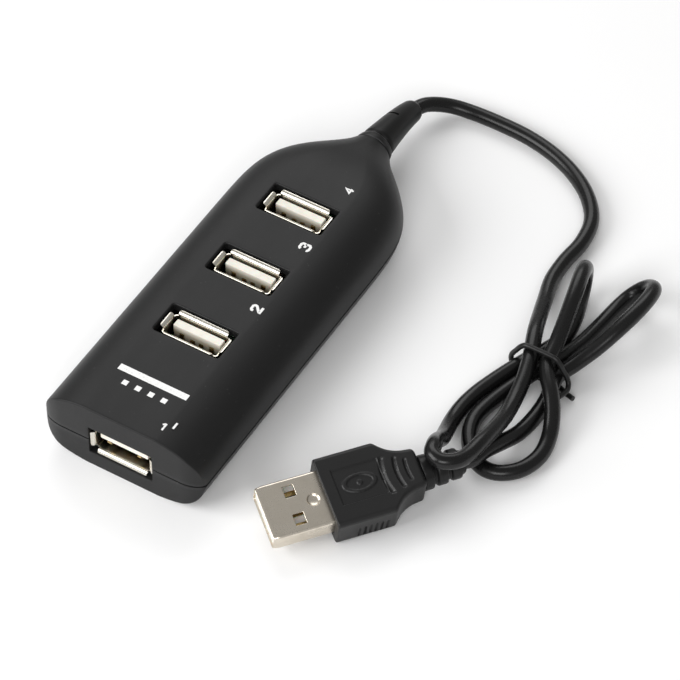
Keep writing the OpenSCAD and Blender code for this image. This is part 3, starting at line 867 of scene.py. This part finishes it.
def lip(length, place):
    """A wall's end, rolled outwards to the mouth plane, with rounded free corners."""
    front, back = [], []
    arc = LIP_R * math.pi / 2
    for share in spread(0.0, 1.0, LIP_ROWS):
        a = share * math.pi / 2
        over = max(0.0, share * arc - (arc - LIP_CORNER))
        trim = LIP_CORNER - math.sqrt(max(0.0, LIP_CORNER ** 2 - over ** 2))
        half = length / 2 - trim
        for r, grid in ((LIP_R, front), (LIP_R - SHEET, back)):
            x, z = LIP_R - r * math.cos(a), -LIP_R + r * math.sin(a)
            grid.append([place((x, u, z)) for u in spread(-half, half, LIP_COLS)])
    return slab(front, back)


def wall_tube(depth):
    """The drawn tube behind the lips: rounded corners, open at both ends."""
    outer = rounded_loop(MOUTH_W + 2 * SHEET, MOUTH_H + 2 * SHEET, 0.75)
    inner = rounded_loop(MOUTH_W, MOUTH_H, 0.45)
    edge = -LIP_R - 0.05
    loops = [
        (outer, 1, 1, edge), (outer, 0.996, 0.99, -LIP_R), (inner, 1.004, 1.01, -LIP_R),
        (inner, 1, 1, edge), (inner, 1, 1, -depth), (outer, 1, 1, -depth),
    ]
    return ring_skin([[(x * sx, y * sy, z) for x, y in ring] for ring, sx, sy, z in loops])


def finger(x):
    """A spring finger lanced from the wall, leaning in, with a curled end."""
    stops = [(0.0, -3.4), (0.12, -4.2), (0.42, -5.4), (0.72, -6.6), (0.86, -7.3), (0.74, -7.9),
             (0.5, -8.3)]
    path = smooth_path([(0, a, z) for a, z in stops], 3)
    front, back = [], []
    wall_y = -MOUTH_H / 2 - SHEET
    for i, p in enumerate(path):
        half = FINGER_W / 2 * (1 - 0.28 * i / (len(path) - 1))
        xs = [x - half + 2 * half * k / 6 for k in range(7)]
        front.append([(u, wall_y + SHEET + p.y, p.z) for u in xs])
        back.append([(u, wall_y + 0.05 + p.y, p.z) for u in xs])
    return slab(front, back)


def window_cutter(x, y, z, w, h, d, place, r=0.2):
    loops = []
    for dy in (-d / 2, d / 2):
        loops.append([place((x + u, y + dy, z + v)) for u, v in rounded_loop(w, h, r, 3)])
    return cutter(loops)


def solder_tab(x0, depth, place, flat):
    """A tapered tab through the board: behind an upright port, or below a flat one."""
    root = -MOUTH_H / 2 if flat else -depth
    low = root - (SHEET if flat else 0) - BOARD_T - LEG_DROP
    half, tip = TAB_W / 2, 0.35
    tab = [(low, -tip), (low + 0.5, -half), (root + 1, -half), (root + 1, half), (low + 0.5, half),
           (low, tip)]
    loops = []
    for dx in (-SHEET / 2, SHEET / 2):
        if flat:
            loops.append([place((x0 + dx, v, u - FLAT_TAB_DEPTH)) for v, u in tab])
        else:
            loops.append([place((x0 + dx, u, v)) for v, u in tab])
    return skin(loops)


def port_shell(name, node, depth, place, flat):
    obj = mesh_object(name, *moved(wall_tube(depth), place))
    cutters = []
    for s in (-1, 1):
        cutters.append(window_cutter(s * FINGER_X, -MOUTH_H / 2 - SHEET / 2, -5.75,
                                     FINGER_W + 0.7, 5.2, 1.0, place))
        cutters.append(window_cutter(s * FINGER_X, MOUTH_H / 2 + SHEET / 2, -4.3,
                                     1.6, 1.9, 0.7, place))
    cut(obj, cutters)
    weld(obj)
    parts = []
    for s in (-1, 1):
        parts.append(lip(LIP_SHORT, lambda p, s=s: place((s * (MOUTH_W / 2 + p[0]), p[1], p[2]))))
        parts.append(lip(LIP_LONG, lambda p, s=s: place((p[1], s * (MOUTH_H / 2 + p[0]), p[2]))))
        parts.append(moved(finger(s * FINGER_X), place))
        parts.append(solder_tab(s * TAB_X, depth, place, flat))
    extras = join(name + "_lips", parts)
    both = merge(name, [obj, extras])
    return piece(both, TIN, "port_metal", node, degrees=40)


def merge(name, objects):
    """One object from several, keeping their meshes as separate islands."""
    bm = bmesh.new()
    for obj in objects:
        bm.from_mesh(obj.data)
        bpy.data.objects.remove(obj)
    mesh = bpy.data.meshes.new(name)
    bm.to_mesh(mesh)
    bm.free()
    return in_scene(name, mesh)


def bevelled_box(low, high, bevel, place):
    """(points, faces) of a box with rounded edges all round."""
    centre = [(a + b) / 2 for a, b in zip(low, high)]
    size = [b - a for a, b in zip(low, high)]
    loops = []
    for inset, z in ((bevel, 0.0), (bevel * 0.3, bevel * 0.3), (0.0, bevel),
                     (0.0, size[2] - bevel), (bevel * 0.3, size[2] - bevel * 0.3),
                     (bevel, size[2])):
        r = max(bevel - inset * 0.5, 0.02)
        ring = rounded_loop(size[0] - 2 * inset, size[1] - 2 * inset, r, 4)
        loops.append([(centre[0] + x, centre[1] + y, low[2] + z) for x, y in ring])
    return moved(skin(loops), place)


def port_insulator(name, node, depth, place):
    """Base block, and the tongue with its rounded tip and its contact channels."""
    tongue = mesh_object(name, *bevelled_box(
        (-TONGUE_W / 2, TONGUE_FRONT, -depth + 1.0),
        (TONGUE_W / 2, TONGUE_FRONT + TONGUE_T, -TONGUE_TIP), 0.22, place))
    cutters = []
    for x in CONTACT_XS:
        top = -TONGUE_TIP - (1.6 if abs(x) > 2 else 2.1)
        middle = (top - depth + BASE_T) / 2
        cutters.append(window_cutter(x, TONGUE_FRONT, middle, CHANNEL_W, top + depth - BASE_T,
                                     0.44, place, 0.12))
    cut(tongue, cutters)
    base = mesh_object(name + "_base", *bevelled_box(
        (-MOUTH_W / 2 + 0.05, -MOUTH_H / 2 + 0.05, -depth),
        (MOUTH_W / 2 - 0.05, MOUTH_H / 2 - 0.05, -depth + BASE_T), 0.25, place))
    cut(base, [window_cutter(x, TONGUE_FRONT - LEG_W / 2, -depth + BASE_T / 2, 1.1, BASE_T + 2,
                             LEG_W, place, 0.05) for x in CONTACT_XS])
    both = merge(name, [weld(tongue), weld(base)])
    return piece(both, IVORY, "tongue_ivory", node, degrees=36)


def strip(path, half, thick, place):
    """A formed metal strip: path is (y, z), the same across its width."""
    n = len(path)
    front, back = [], []
    for i, (y, z) in enumerate(path):
        a, b = path[max(i - 1, 0)], path[min(i + 1, n - 1)]
        length = math.hypot(b[0] - a[0], b[1] - a[1])
        ny, nz = (b[1] - a[1]) / length * thick / 2, -(b[0] - a[0]) / length * thick / 2
        w = half * (0.72 if i in (0, 1) else 1.0)
        xs = [-w, -w * 0.5, 0, w * 0.5, w]
        front.append([place((x, y + ny, z + nz)) for x in xs])
        back.append([place((x, y - ny, z - nz)) for x in xs])
    return slab(front, back)


BOW = [                   # offsets from the tongue's front and from the bow's own start
    (0.1, 0.12), (-0.02, -0.1), (-0.14, -0.55), (-0.19, -1.0), (-0.14, -1.5), (-0.1, -2.2),
]
LOW_BOW = [
    (-0.02, -1.2), (-0.5, -1.25), (-0.85, -1.5), (-0.85, -1.9), (-0.45, -3.0), (-0.12, -4.4),
]
BENT_LEG = [(-0.3, -1.2), (-0.5, -1.45), (-0.8, -1.5)]


def port_contacts(name, node, depth, place, flat):
    """Four formed contacts: a bow that touches the plug, a run along the tongue and a leg.

    The front port's outer pair hangs lower and starts nearer to the mouth, as in the photo."""
    parts = []
    front = TONGUE_FRONT
    for x in CONTACT_XS:
        reach = TONGUE_TIP + (1.9 if abs(x) > 2 else 2.4)
        rest = [(front - 0.125, -depth + BASE_T), (front - 0.125, -depth)]
        bow, start = (LOW_BOW, 0.0) if flat and abs(x) > 2 else (BOW, -reach)
        path = [(0, front + dy, start + dz) for dy, dz in bow] + [(0, y, z) for y, z in rest]
        run = [(p.y, p.z) for p in smooth_path(path, 3)]
        leg = [(front - 0.3, -depth + 0.3)]
        if flat:
            leg += [(front + dy, -depth + dz) for dy, dz in BENT_LEG]
            leg.append((-PARTING_Z + BOARD_Z - LEG_DROP, leg[-1][1]))
        else:
            leg.append((front - 0.3, -depth - BOARD_T - LEG_DROP))
        here = offset(x, 0, 0, place)
        parts.append(strip(run, 0.47, 0.2, here))
        parts.append(strip(leg[::-1], 0.28, 0.5, here))
    obj = join(name, parts)
    return piece(obj, GOLD, "contact_gold", node, degrees=40, weighted=False)


def make_port(n):
    flat = n == 1
    if flat:
        place = offset(0, PARTING_Z, -FRONT_MOUTH_Y, front_place)
    else:
        place = offset(0, TOP_PORT_YS[n], MOUTH_Z)
    depth = FRONT_DEPTH if flat else MOUTH_Z - BOARD_TOP
    port_shell(f"port_{n}_shell_looks", f"port_{n}_shell", depth, place, flat)
    port_insulator(f"port_{n}_tongue_looks", f"port_{n}_insulator", depth, place)
    port_contacts(f"port_{n}_contacts_looks", f"port_{n}_contacts", depth, place, flat)


for port in (1, 2, 3, 4):
    make_port(port)


# ---- strain relief of the hub ----

FLANGE_T = 1.3
BOOT_LINE = [(0, 49.06, NECK_Z), (0, 53, 7.6), (0, 57, 7), (0, 61, 6.1), BOOT_TIP]
BOOT_RADII = [(0.0, 3.25), (0.35, 3.6), (0.9, 3.72), (3.9, 3.42), (7.9, 3.08), (12.0, 2.75),
              (15.0, 2.52), (15.75, 2.3), (16.05, 1.9)]


FLEX_SLOTS = [(0.50, 1), (0.66, -1), (0.82, -1)]   # share of the length, and above or below
SLOT_HALF = 0.32
SLOT_SHIFT = 4            # towards the left, so that a slot is open on that side only


def make_boot():
    path = smooth_path(BOOT_LINE, 16)
    reach = [0.0]
    for a, b in zip(path, path[1:]):
        reach.append(reach[-1] + (b - a).length)
    obj = mesh_object("boot", *tube(path, lambda i: table_value(BOOT_RADII, reach[i]), 48))
    cutters = []
    for share, side in FLEX_SLOTS:
        i = int(share * (len(path) - 1))
        along = (path[i + 1] - path[i - 1]).normalized()
        across = along.cross(Vector((0, 0, 1))).normalized()
        up = across.cross(along)
        loops = []
        for d in (-SLOT_HALF, SLOT_HALF):
            ring = rounded_loop(9, 4.2, 0.3, 3)
            loops.append([path[i] + along * d + across * (x - SLOT_SHIFT) + up * side * (3.1 + y)
                          for x, y in ring])
        cutters.append(cutter(loops))
    cut(obj, cutters)
    flange_y = CAVITY_END_Y - FLANGE_T
    inner = [(BORE_R + 0.35, flange_y), (BORE_R + 0.5, flange_y + 0.15),
             (BORE_R + 0.5, CAVITY_END_Y - 0.15), (BORE_R - 0.15, CAVITY_END_Y - 0.1),
             (BORE_R - 0.15, 49.6)]
    stem = mesh_object("boot_stem", *skin(turned(inner, neck_place, 48)))
    both = merge("boot_looks", [weld(obj), stem])
    return piece(both, BOOT, "boot_black", "cable_boot", degrees=40, weighted=False)


boot = make_boot()


# ---- plug ----

PLUG_TURN = Matrix.Rotation(PLUG_YAW, 3, "Z") @ Matrix.Rotation(PLUG_ROLL, 3, "X")
PLUG_W = 12
PLUG_H = 4.5
PLUG_SHELL_L = 12.4
SHELL_ROOT = 3
WINDOW_X = 6.2
WINDOW_Y = 3.1
WINDOW = (2.2, 2.5, 0.12)  # length, width and corner radius of the latch windows
GRIP_W = 15.6
GRIP_T = 7.6
RELIEF_START = 19.8
DIMPLE_X = 2.3
DIMPLE_R = 1.3
INSULATOR_T = 1.9
INSULATOR_TOP = -PLUG_H / 2 + SHEET + INSULATOR_T


def plug_place(p):
    """The plug's own frame: +X towards its tip, x = 0 on the grip's front face."""
    return PLUG_AT + PLUG_TURN @ Vector(p)


def make_plug_shell():
    outside = [(-SHELL_ROOT, 0.0), (10.9, 0.0), (11.5, 0.04), (12.0, 0.13), (12.28, 0.2),
               (PLUG_SHELL_L, 0.27)]
    inside = [(12.36, 0.33), (12.0, 0.36), (11.2, 0.3), (-SHELL_ROOT, 0.3)]
    stops = [(x, inset, 0.6 - inset * 0.5) for x, inset in outside]
    stops += [(x, inset, 0.3) for x, inset in inside]
    loops = [[(x, y, z) for y, z in rounded_loop(PLUG_W - 2 * inset, PLUG_H - 2 * inset, r, 8)]
             for x, inset, r in stops]
    obj = mesh_object("plug_shell_looks", *moved(ring_skin(loops), plug_place))
    cutters = []
    stops = [(0.0, -0.6), (0.0, -0.14), (0.03, -0.06), (0.12, 0.0), (0.4, 0.16)]
    for side in (-1, 1):
        for s in (-1, 1):
            cutters.append(cutter(flared(
                *WINDOW, stops, lambda p: plug_place((WINDOW_X + p[0], s * WINDOW_Y + p[1],
                                                      side * (PLUG_H / 2 + p[2]))), 4)))
    stops = [(DIMPLE_R, -0.6), (DIMPLE_R, -0.1), (DIMPLE_R + 0.12, 0.0), (DIMPLE_R + 0.4, 0.12)]
    top = PLUG_H / 2
    cutters.append(cutter(turned(stops, offset(DIMPLE_X, 0, top, plug_place), 40)))
    seam = [(-0.05, -PLUG_H), (0.05, -PLUG_H), (0.05, -top + 0.2), (-0.05, -top + 0.2)]
    cutters.append(cutter([[plug_place((x, y, z)) for y, z in seam]
                           for x in (-SHELL_ROOT - 1, PLUG_SHELL_L + 1)]))
    cut(obj, cutters)
    bowl = [(DIMPLE_R + 0.02, top - 0.13), (DIMPLE_R - 0.1, top - 0.3),
            (DIMPLE_R - 0.45, top - 0.44), (0.4, top - 0.5), (0.08, top - 0.51)]
    under = [(r, z - 0.16) for r, z in bowl]
    cup = turned(bowl[::-1] + under, offset(DIMPLE_X, 0, 0, plug_place), 40)
    cup = mesh_object("cup", *skin(cup))
    both = merge("plug_shell_looks", [weld(obj), cup])
    return piece(both, NICKEL, "plug_metal", "plug_shell", degrees=40)


def make_plug_insulator():
    low = -PLUG_H / 2 + SHEET
    top = INSULATOR_TOP
    body = mesh_object("plug_insulator_looks", *bevelled_box(
        (-SHELL_ROOT, -PLUG_W / 2 + SHEET, low),
        (PLUG_SHELL_L - 0.4, PLUG_W / 2 - SHEET, top), 0.16, plug_place))
    cutters = []
    for y in CONTACT_XS:
        far = PLUG_SHELL_L - (0.9 if abs(y) > 2 else 1.9)
        ring = rounded_loop(far + SHELL_ROOT + 2, CHANNEL_W, 0.2, 3)
        shift = PLUG_TURN @ Vector(((far - SHELL_ROOT - 2) / 2, 0, 0))
        loops = [[plug_place((x, y + u, z)) + shift for x, u in ring]
                 for z in (top - 0.16, top + 0.5)]
        cutters.append(cutter(loops))
    cut(body, cutters)
    block = mesh_object("block", *bevelled_box(
        (-SHELL_ROOT, -PLUG_W / 2 + SHEET + 0.02, top - 0.3),
        (-0.5, PLUG_W / 2 - SHEET - 0.02, PLUG_H / 2 - SHEET), 0.15, plug_place))
    both = merge("plug_insulator_looks", [weld(body), block])
    return piece(both, PLUG_WHITE, "plug_white", "plug_insulator", degrees=36)


def make_plug_contacts():
    top = INSULATOR_TOP
    parts = []
    for y in CONTACT_XS:
        far = PLUG_SHELL_L - (1.2 if abs(y) > 2 else 2.2)
        path = [(top - 0.1, far), (top + 0.08, far - 0.25), (top + 0.13, far - 0.7),
                (top + 0.13, 4), (top + 0.13, -SHELL_ROOT)]
        parts.append(strip(path, 0.48, 0.22,
                           lambda p, y=y: plug_place((p[2], y + p[0], p[1]))))
    obj = join("plug_contacts_looks", parts)
    return piece(obj, GOLD, "contact_gold", "plug_contacts", degrees=40, weighted=False)


GRIP_HALF = [             # distance behind the front face, and share of the half width
    (0, 1), (4, 1), (8, 1), (11.4, 1), (12.3, 0.985), (13.2, 0.87), (14.4, 0.735), (15.6, 0.65),
    (17, 0.59), (18.4, 0.565), (19.4, 0.55), (19.8, 0.54),
]
GRIP_OUTLINE = [(p.x, p.y) for p in smooth_path([(x, v, 0) for x, v in GRIP_HALF], 6)]
GRIP_CORNER = 0.95
GRIP_FILLET = 0.35        # round the front face
GRIP_END_R = 0.8          # where it meets the strain relief
ARCS = [(-12.9, 4.0, 0.75), (-15.6, 3.4, 0.6), (-17.7, 2.4, 0.5)]   # x, half length, width
GROOVE_XS = [-4.7 - 1.16 * k for k in range(6)]
PANEL_X = -7.25           # middle of the recessed panel
PANEL_Y = -0.2
RING_X = -7.2


def smooth_step(value, low, high):
    t = min(1.0, max(0.0, (value - low) / (high - low)))
    return t * t * (3 - 2 * t)


def grip_relief(x, y):
    """How far the grip's flat faces stand out (or in, below 0) at a point."""
    edge = max(abs(x - PANEL_X) - 4.75, abs(y - PANEL_Y) - 3.9)
    depth = -0.28 * (1 - smooth_step(edge, -0.12, 0.12))
    for x0, half, wide in ARCS:
        bend = x0 + 0.8 * (1 - (y / 4.2) ** 2)
        across = smooth_step(abs(x - bend), 0.05, wide)
        ends = smooth_step(abs(y) - half, -0.5, 0.3)
        depth -= 0.42 * (1 - across) * (1 - ends)
    ring = abs(math.hypot((x - RING_X) / 3.1, (y - PANEL_Y) / 1.75) - 1) * 2.2
    dot = math.hypot(x - RING_X, y - PANEL_Y)
    raised = max(1 - smooth_step(ring, 0.18, 0.42), 1 - smooth_step(dot, 0.42, 0.66))
    return depth + 0.24 * raised


def grip_side_relief(x, z):
    depth = 0.0
    for x0 in GROOVE_XS:
        across = 1 - smooth_step(abs(x - x0), 0.12, 0.36)
        along = 1 - smooth_step(abs(z + 1.3) - 1.7, -0.15, 0.15)
        depth -= 0.38 * across * along
    return depth


def grip_loop(x, inset):
    """One section of the grip, dense enough to carry its relief."""
    w = GRIP_W / 2 * table_value(GRIP_OUTLINE, -x) - inset
    t = GRIP_T / 2 - inset
    r = GRIP_CORNER - inset * 0.4
    wide, side, corner = 126, 44, 6
    loop = []

    def arc(cy, cz, start):
        for k in range(1, corner):
            a = math.radians(start + 90 * k / corner)
            loop.append((cy + r * math.cos(a), cz + r * math.sin(a)))

    for sign in (1, -1):
        for k in range(wide + 1):
            y = sign * ((w - r) - 2 * (w - r) * k / wide)
            loop.append((y, sign * (t + grip_relief(x, y))))
        arc(-sign * (w - r), sign * (t - r), 90 if sign > 0 else 270)
        for k in range(side + 1):
            z = sign * ((t - r) - 2 * (t - r) * k / side)
            loop.append((-sign * (w + grip_side_relief(x, z)), z))
        arc(-sign * (w - r), -sign * (t - r), 180 if sign > 0 else 0)
    return [(x, y, z) for y, z in loop]


def make_grip():
    loops = []
    for k in range(5):
        a = math.radians(22.5 * k)
        loops.append(grip_loop(-GRIP_FILLET * (1 - math.cos(a)), GRIP_FILLET * (1 - math.sin(a))))
    loops += [grip_loop(x, 0) for x in spread(-0.5, -18.9, 168)]
    for k in range(1, 7):
        a = math.radians(15 * k)
        loops.append(grip_loop(-19.0 - GRIP_END_R * math.sin(a) * 0.98,
                               GRIP_END_R * (1 - math.cos(a))))
    obj = mesh_object("plug_grip", *moved(skin(loops), plug_place))
    stops = [(0.0, -SHELL_ROOT - 0.05), (0.0, -0.5), (0.1, -0.12), (0.4, 0.5)]
    socket = flared(PLUG_W, PLUG_H, 0.6, stops, lambda p: plug_place((p[2], p[0], p[1])))
    cut(obj, [cutter(socket)])
    return piece(weld(obj), GRIP, "grip_black", "plug_overmold", degrees=50)


RIB = [(0.05, -0.35), (0.14, -0.12), (0.4, 0), (1.8, -0.03), (2.06, -0.14), (2.17, -0.35)]


def make_relief():
    """Ribs that get smaller towards the lead, with rounded shoulders."""
    profile = [(RELIEF_START - 0.6, 2.9)]
    for k, r in enumerate((3.6, 3.35, 3.1)):
        x = RELIEF_START + 3.0 * k
        profile += [(x + dx, r + dr) for dx, dr in RIB]
        if k < 2:
            core = 3 - 0.7 * (3 * k + 2.2) / 9.2
            profile += [(x + 2.25, core + 0.05), (x + 2.95, core - 0.02)]
    profile += [(28.3, 2.45), (28.7, 2.35), (28.95, 2.1), (29.0, 1.8)]
    loops = [[plug_place((-x, y, z)) for y, z in circle(r, 56)] for x, r in profile]
    obj = mesh_object("plug_relief", *skin(loops))
    return piece(obj, BOOT, "boot_black", "plug_strain_relief", degrees=50)


plug_pieces = [make_plug_shell(), make_plug_insulator(), make_plug_contacts(), make_grip(),
               make_relief()]


# ---- print on the roof ----

INK_T = 0.03
NUMERALS = {
    1: [[(0.14, 0.78), (0.36, 1.0), (0.5, 1.0), (0.5, 0.0)]],
    2: [[(0.0, 0.72), (0.0, 0.88), (0.14, 1.0), (0.56, 1.0), (0.7, 0.86), (0.66, 0.64),
         (0.06, 0.12), (0.06, 0.0), (0.76, 0.0)]],
    3: [[(0.0, 0.8), (0.04, 0.92), (0.16, 1.0), (0.54, 1.0), (0.7, 0.88), (0.7, 0.66),
         (0.56, 0.53), (0.26, 0.53)],
        [(0.56, 0.53), (0.72, 0.4), (0.72, 0.14), (0.56, 0.0), (0.16, 0.0), (0.0, 0.1),
         (0.0, 0.2)]],
    4: [[(0.52, 0.0), (0.52, 1.0), (0.0, 0.34), (0.74, 0.34)]],
}


def ribbon(points, width, z0, z1, place):
    """A flat stroke with mitred corners and square ends."""
    pts = [Vector((x, y)) for x, y in points]
    left, right = [], []
    for i, p in enumerate(pts):
        a = (p - pts[i - 1]).normalized() if i else None
        b = (pts[i + 1] - p).normalized() if i < len(pts) - 1 else None
        a = a or b
        b = b or a
        mean = (a + b).normalized()
        normal = Vector((-mean.y, mean.x))
        reach = width / 2 / max(0.5, normal.dot(Vector((-a.y, a.x))))
        left.append(p + normal * reach)
        right.append(p - normal * reach)
    rows = [[place((q.x, q.y, z1)) for q in pair] for pair in zip(left, right)]
    back = [[place((q.x, q.y, z0)) for q in pair] for pair in zip(left, right)]
    return slab(rows, back)


def print_place(x, y, turn):
    c, s = math.cos(math.radians(turn)), math.sin(math.radians(turn))

    def place(p):
        px, py = x + c * p[0] - s * p[1], y + s * p[0] + c * p[1]
        roof = PARTING_Z + shell_height(py, 1)
        return Vector((px, py, roof + p[2]))
    return place


PRINT_SPOTS = {           # x, y, turn, height and stroke of each port's numeral
    1: (7.9, -45.2, 0, 1.6, 0.4),
    2: (7.3, -10.0, 90, 2.05, 0.55),
    3: (6.8, 9.2, 90, 2.1, 0.55),
    4: (6.3, 27.4, 90, 1.75, 0.45),
}
TICK_SPOT = (9.8, -43.8, 0)
TICK_LENGTH = 1.6
BAR = [(-7.8, 0), (8.1, 0)]
BAR_W = 1.5
BAR_Y = -36.6
SQUARE = 1.2
SQUARE_PITCH = 3
SQUARES_Y = -39.6


def make_print():
    parts = []
    for n, (x, y, turn, tall, stroke) in PRINT_SPOTS.items():
        place = print_place(x, y, turn)
        for line in NUMERALS[n]:
            shifted = [((u - 0.35) * tall, (v - 0.5) * tall) for u, v in line]
            parts.append(ribbon(shifted, stroke, -INK_T, INK_T, place))
    tick = [(0, -TICK_LENGTH / 2), (0, TICK_LENGTH / 2)]
    parts.append(ribbon(tick, 0.45, -INK_T, INK_T, print_place(*TICK_SPOT)))
    parts.append(ribbon(BAR, BAR_W, -INK_T, INK_T, print_place(0, BAR_Y, 0)))
    side = [(-SQUARE / 2, 0), (SQUARE / 2, 0)]
    for k in range(4):
        spot = print_place(SQUARE_PITCH * (k - 1.5), SQUARES_Y, 0)
        parts.append(ribbon(side, SQUARE, -INK_T, INK_T, spot))
    obj = join("roof_print", parts)
    return piece(obj, INK, "case_black", degrees=30, weighted=False)


make_print()


# ---- CAD nodes that stay ----

KEPT = {
    "circuit_board": BOARD, "hub_chip": CHIP, "chip_leads": TINNED, "crystal": CRYSTAL,
    "bulk_capacitor": SLEEVE, "ceramic_capacitors": TAN, "resistors": RESISTOR,
    "solder_joints": SOLDER, "power_lead_red": WIRE_RED, "data_lead_white": WIRE_WHITE,
    "data_lead_green": WIRE_GREEN, "ground_lead_black": WIRE_BLACK,
}
for node_name, material in KEPT.items():
    node_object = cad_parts[node_name]
    for index in range(len(node_object.data.materials)):
        node_object.data.materials[index] = material


# ---- studio ----

def make_floor():
    g = Graph("floor_white")
    paper = g.noise(30, 3)
    material = g.finish(g.mix(paper, (0.955, 0.955, 0.96), (0.97, 0.97, 0.97)),
                        g.scale(paper, 0.7, 0.85))
    half = 2500
    floor = mesh_object("floor", [(-half, -half, 0), (half, -half, 0), (half, half, 0),
                                  (-half, half, 0)], [[0, 1, 2, 3]])
    floor.data.materials.append(material)


def make_light(name, at, size, power, target=(10, 0, 0)):
    data = bpy.data.lights.new(name, "AREA")
    data.shape = "RECTANGLE"
    data.size, data.size_y = size
    data.energy = power
    light = in_scene(name, data)
    at = Vector(at) * MM
    turn = (Vector(target) * MM - at).to_track_quat("-Z", "Y")
    light.matrix_world = Matrix.Translation(at) @ turn.to_matrix().to_4x4()


def make_world():
    world = bpy.data.worlds.new("studio")
    world.use_nodes = True
    background = world.node_tree.nodes["Background"]
    background.inputs["Color"].default_value = (1.0, 0.995, 0.985, 1)
    background.inputs["Strength"].default_value = 0.36
    bpy.context.scene.world = world


make_floor()
make_world()
make_light("key", (-520, -560, 480), (0.75, 0.55), 7.0)
make_light("back", (-380, 560, 640), (0.7, 0.5), 2.6)
make_light("front", (330, -640, 520), (0.5, 0.35), 2.8)
bpy.context.scene.view_settings.view_transform = "Standard"

path_length(cord_path) * MM
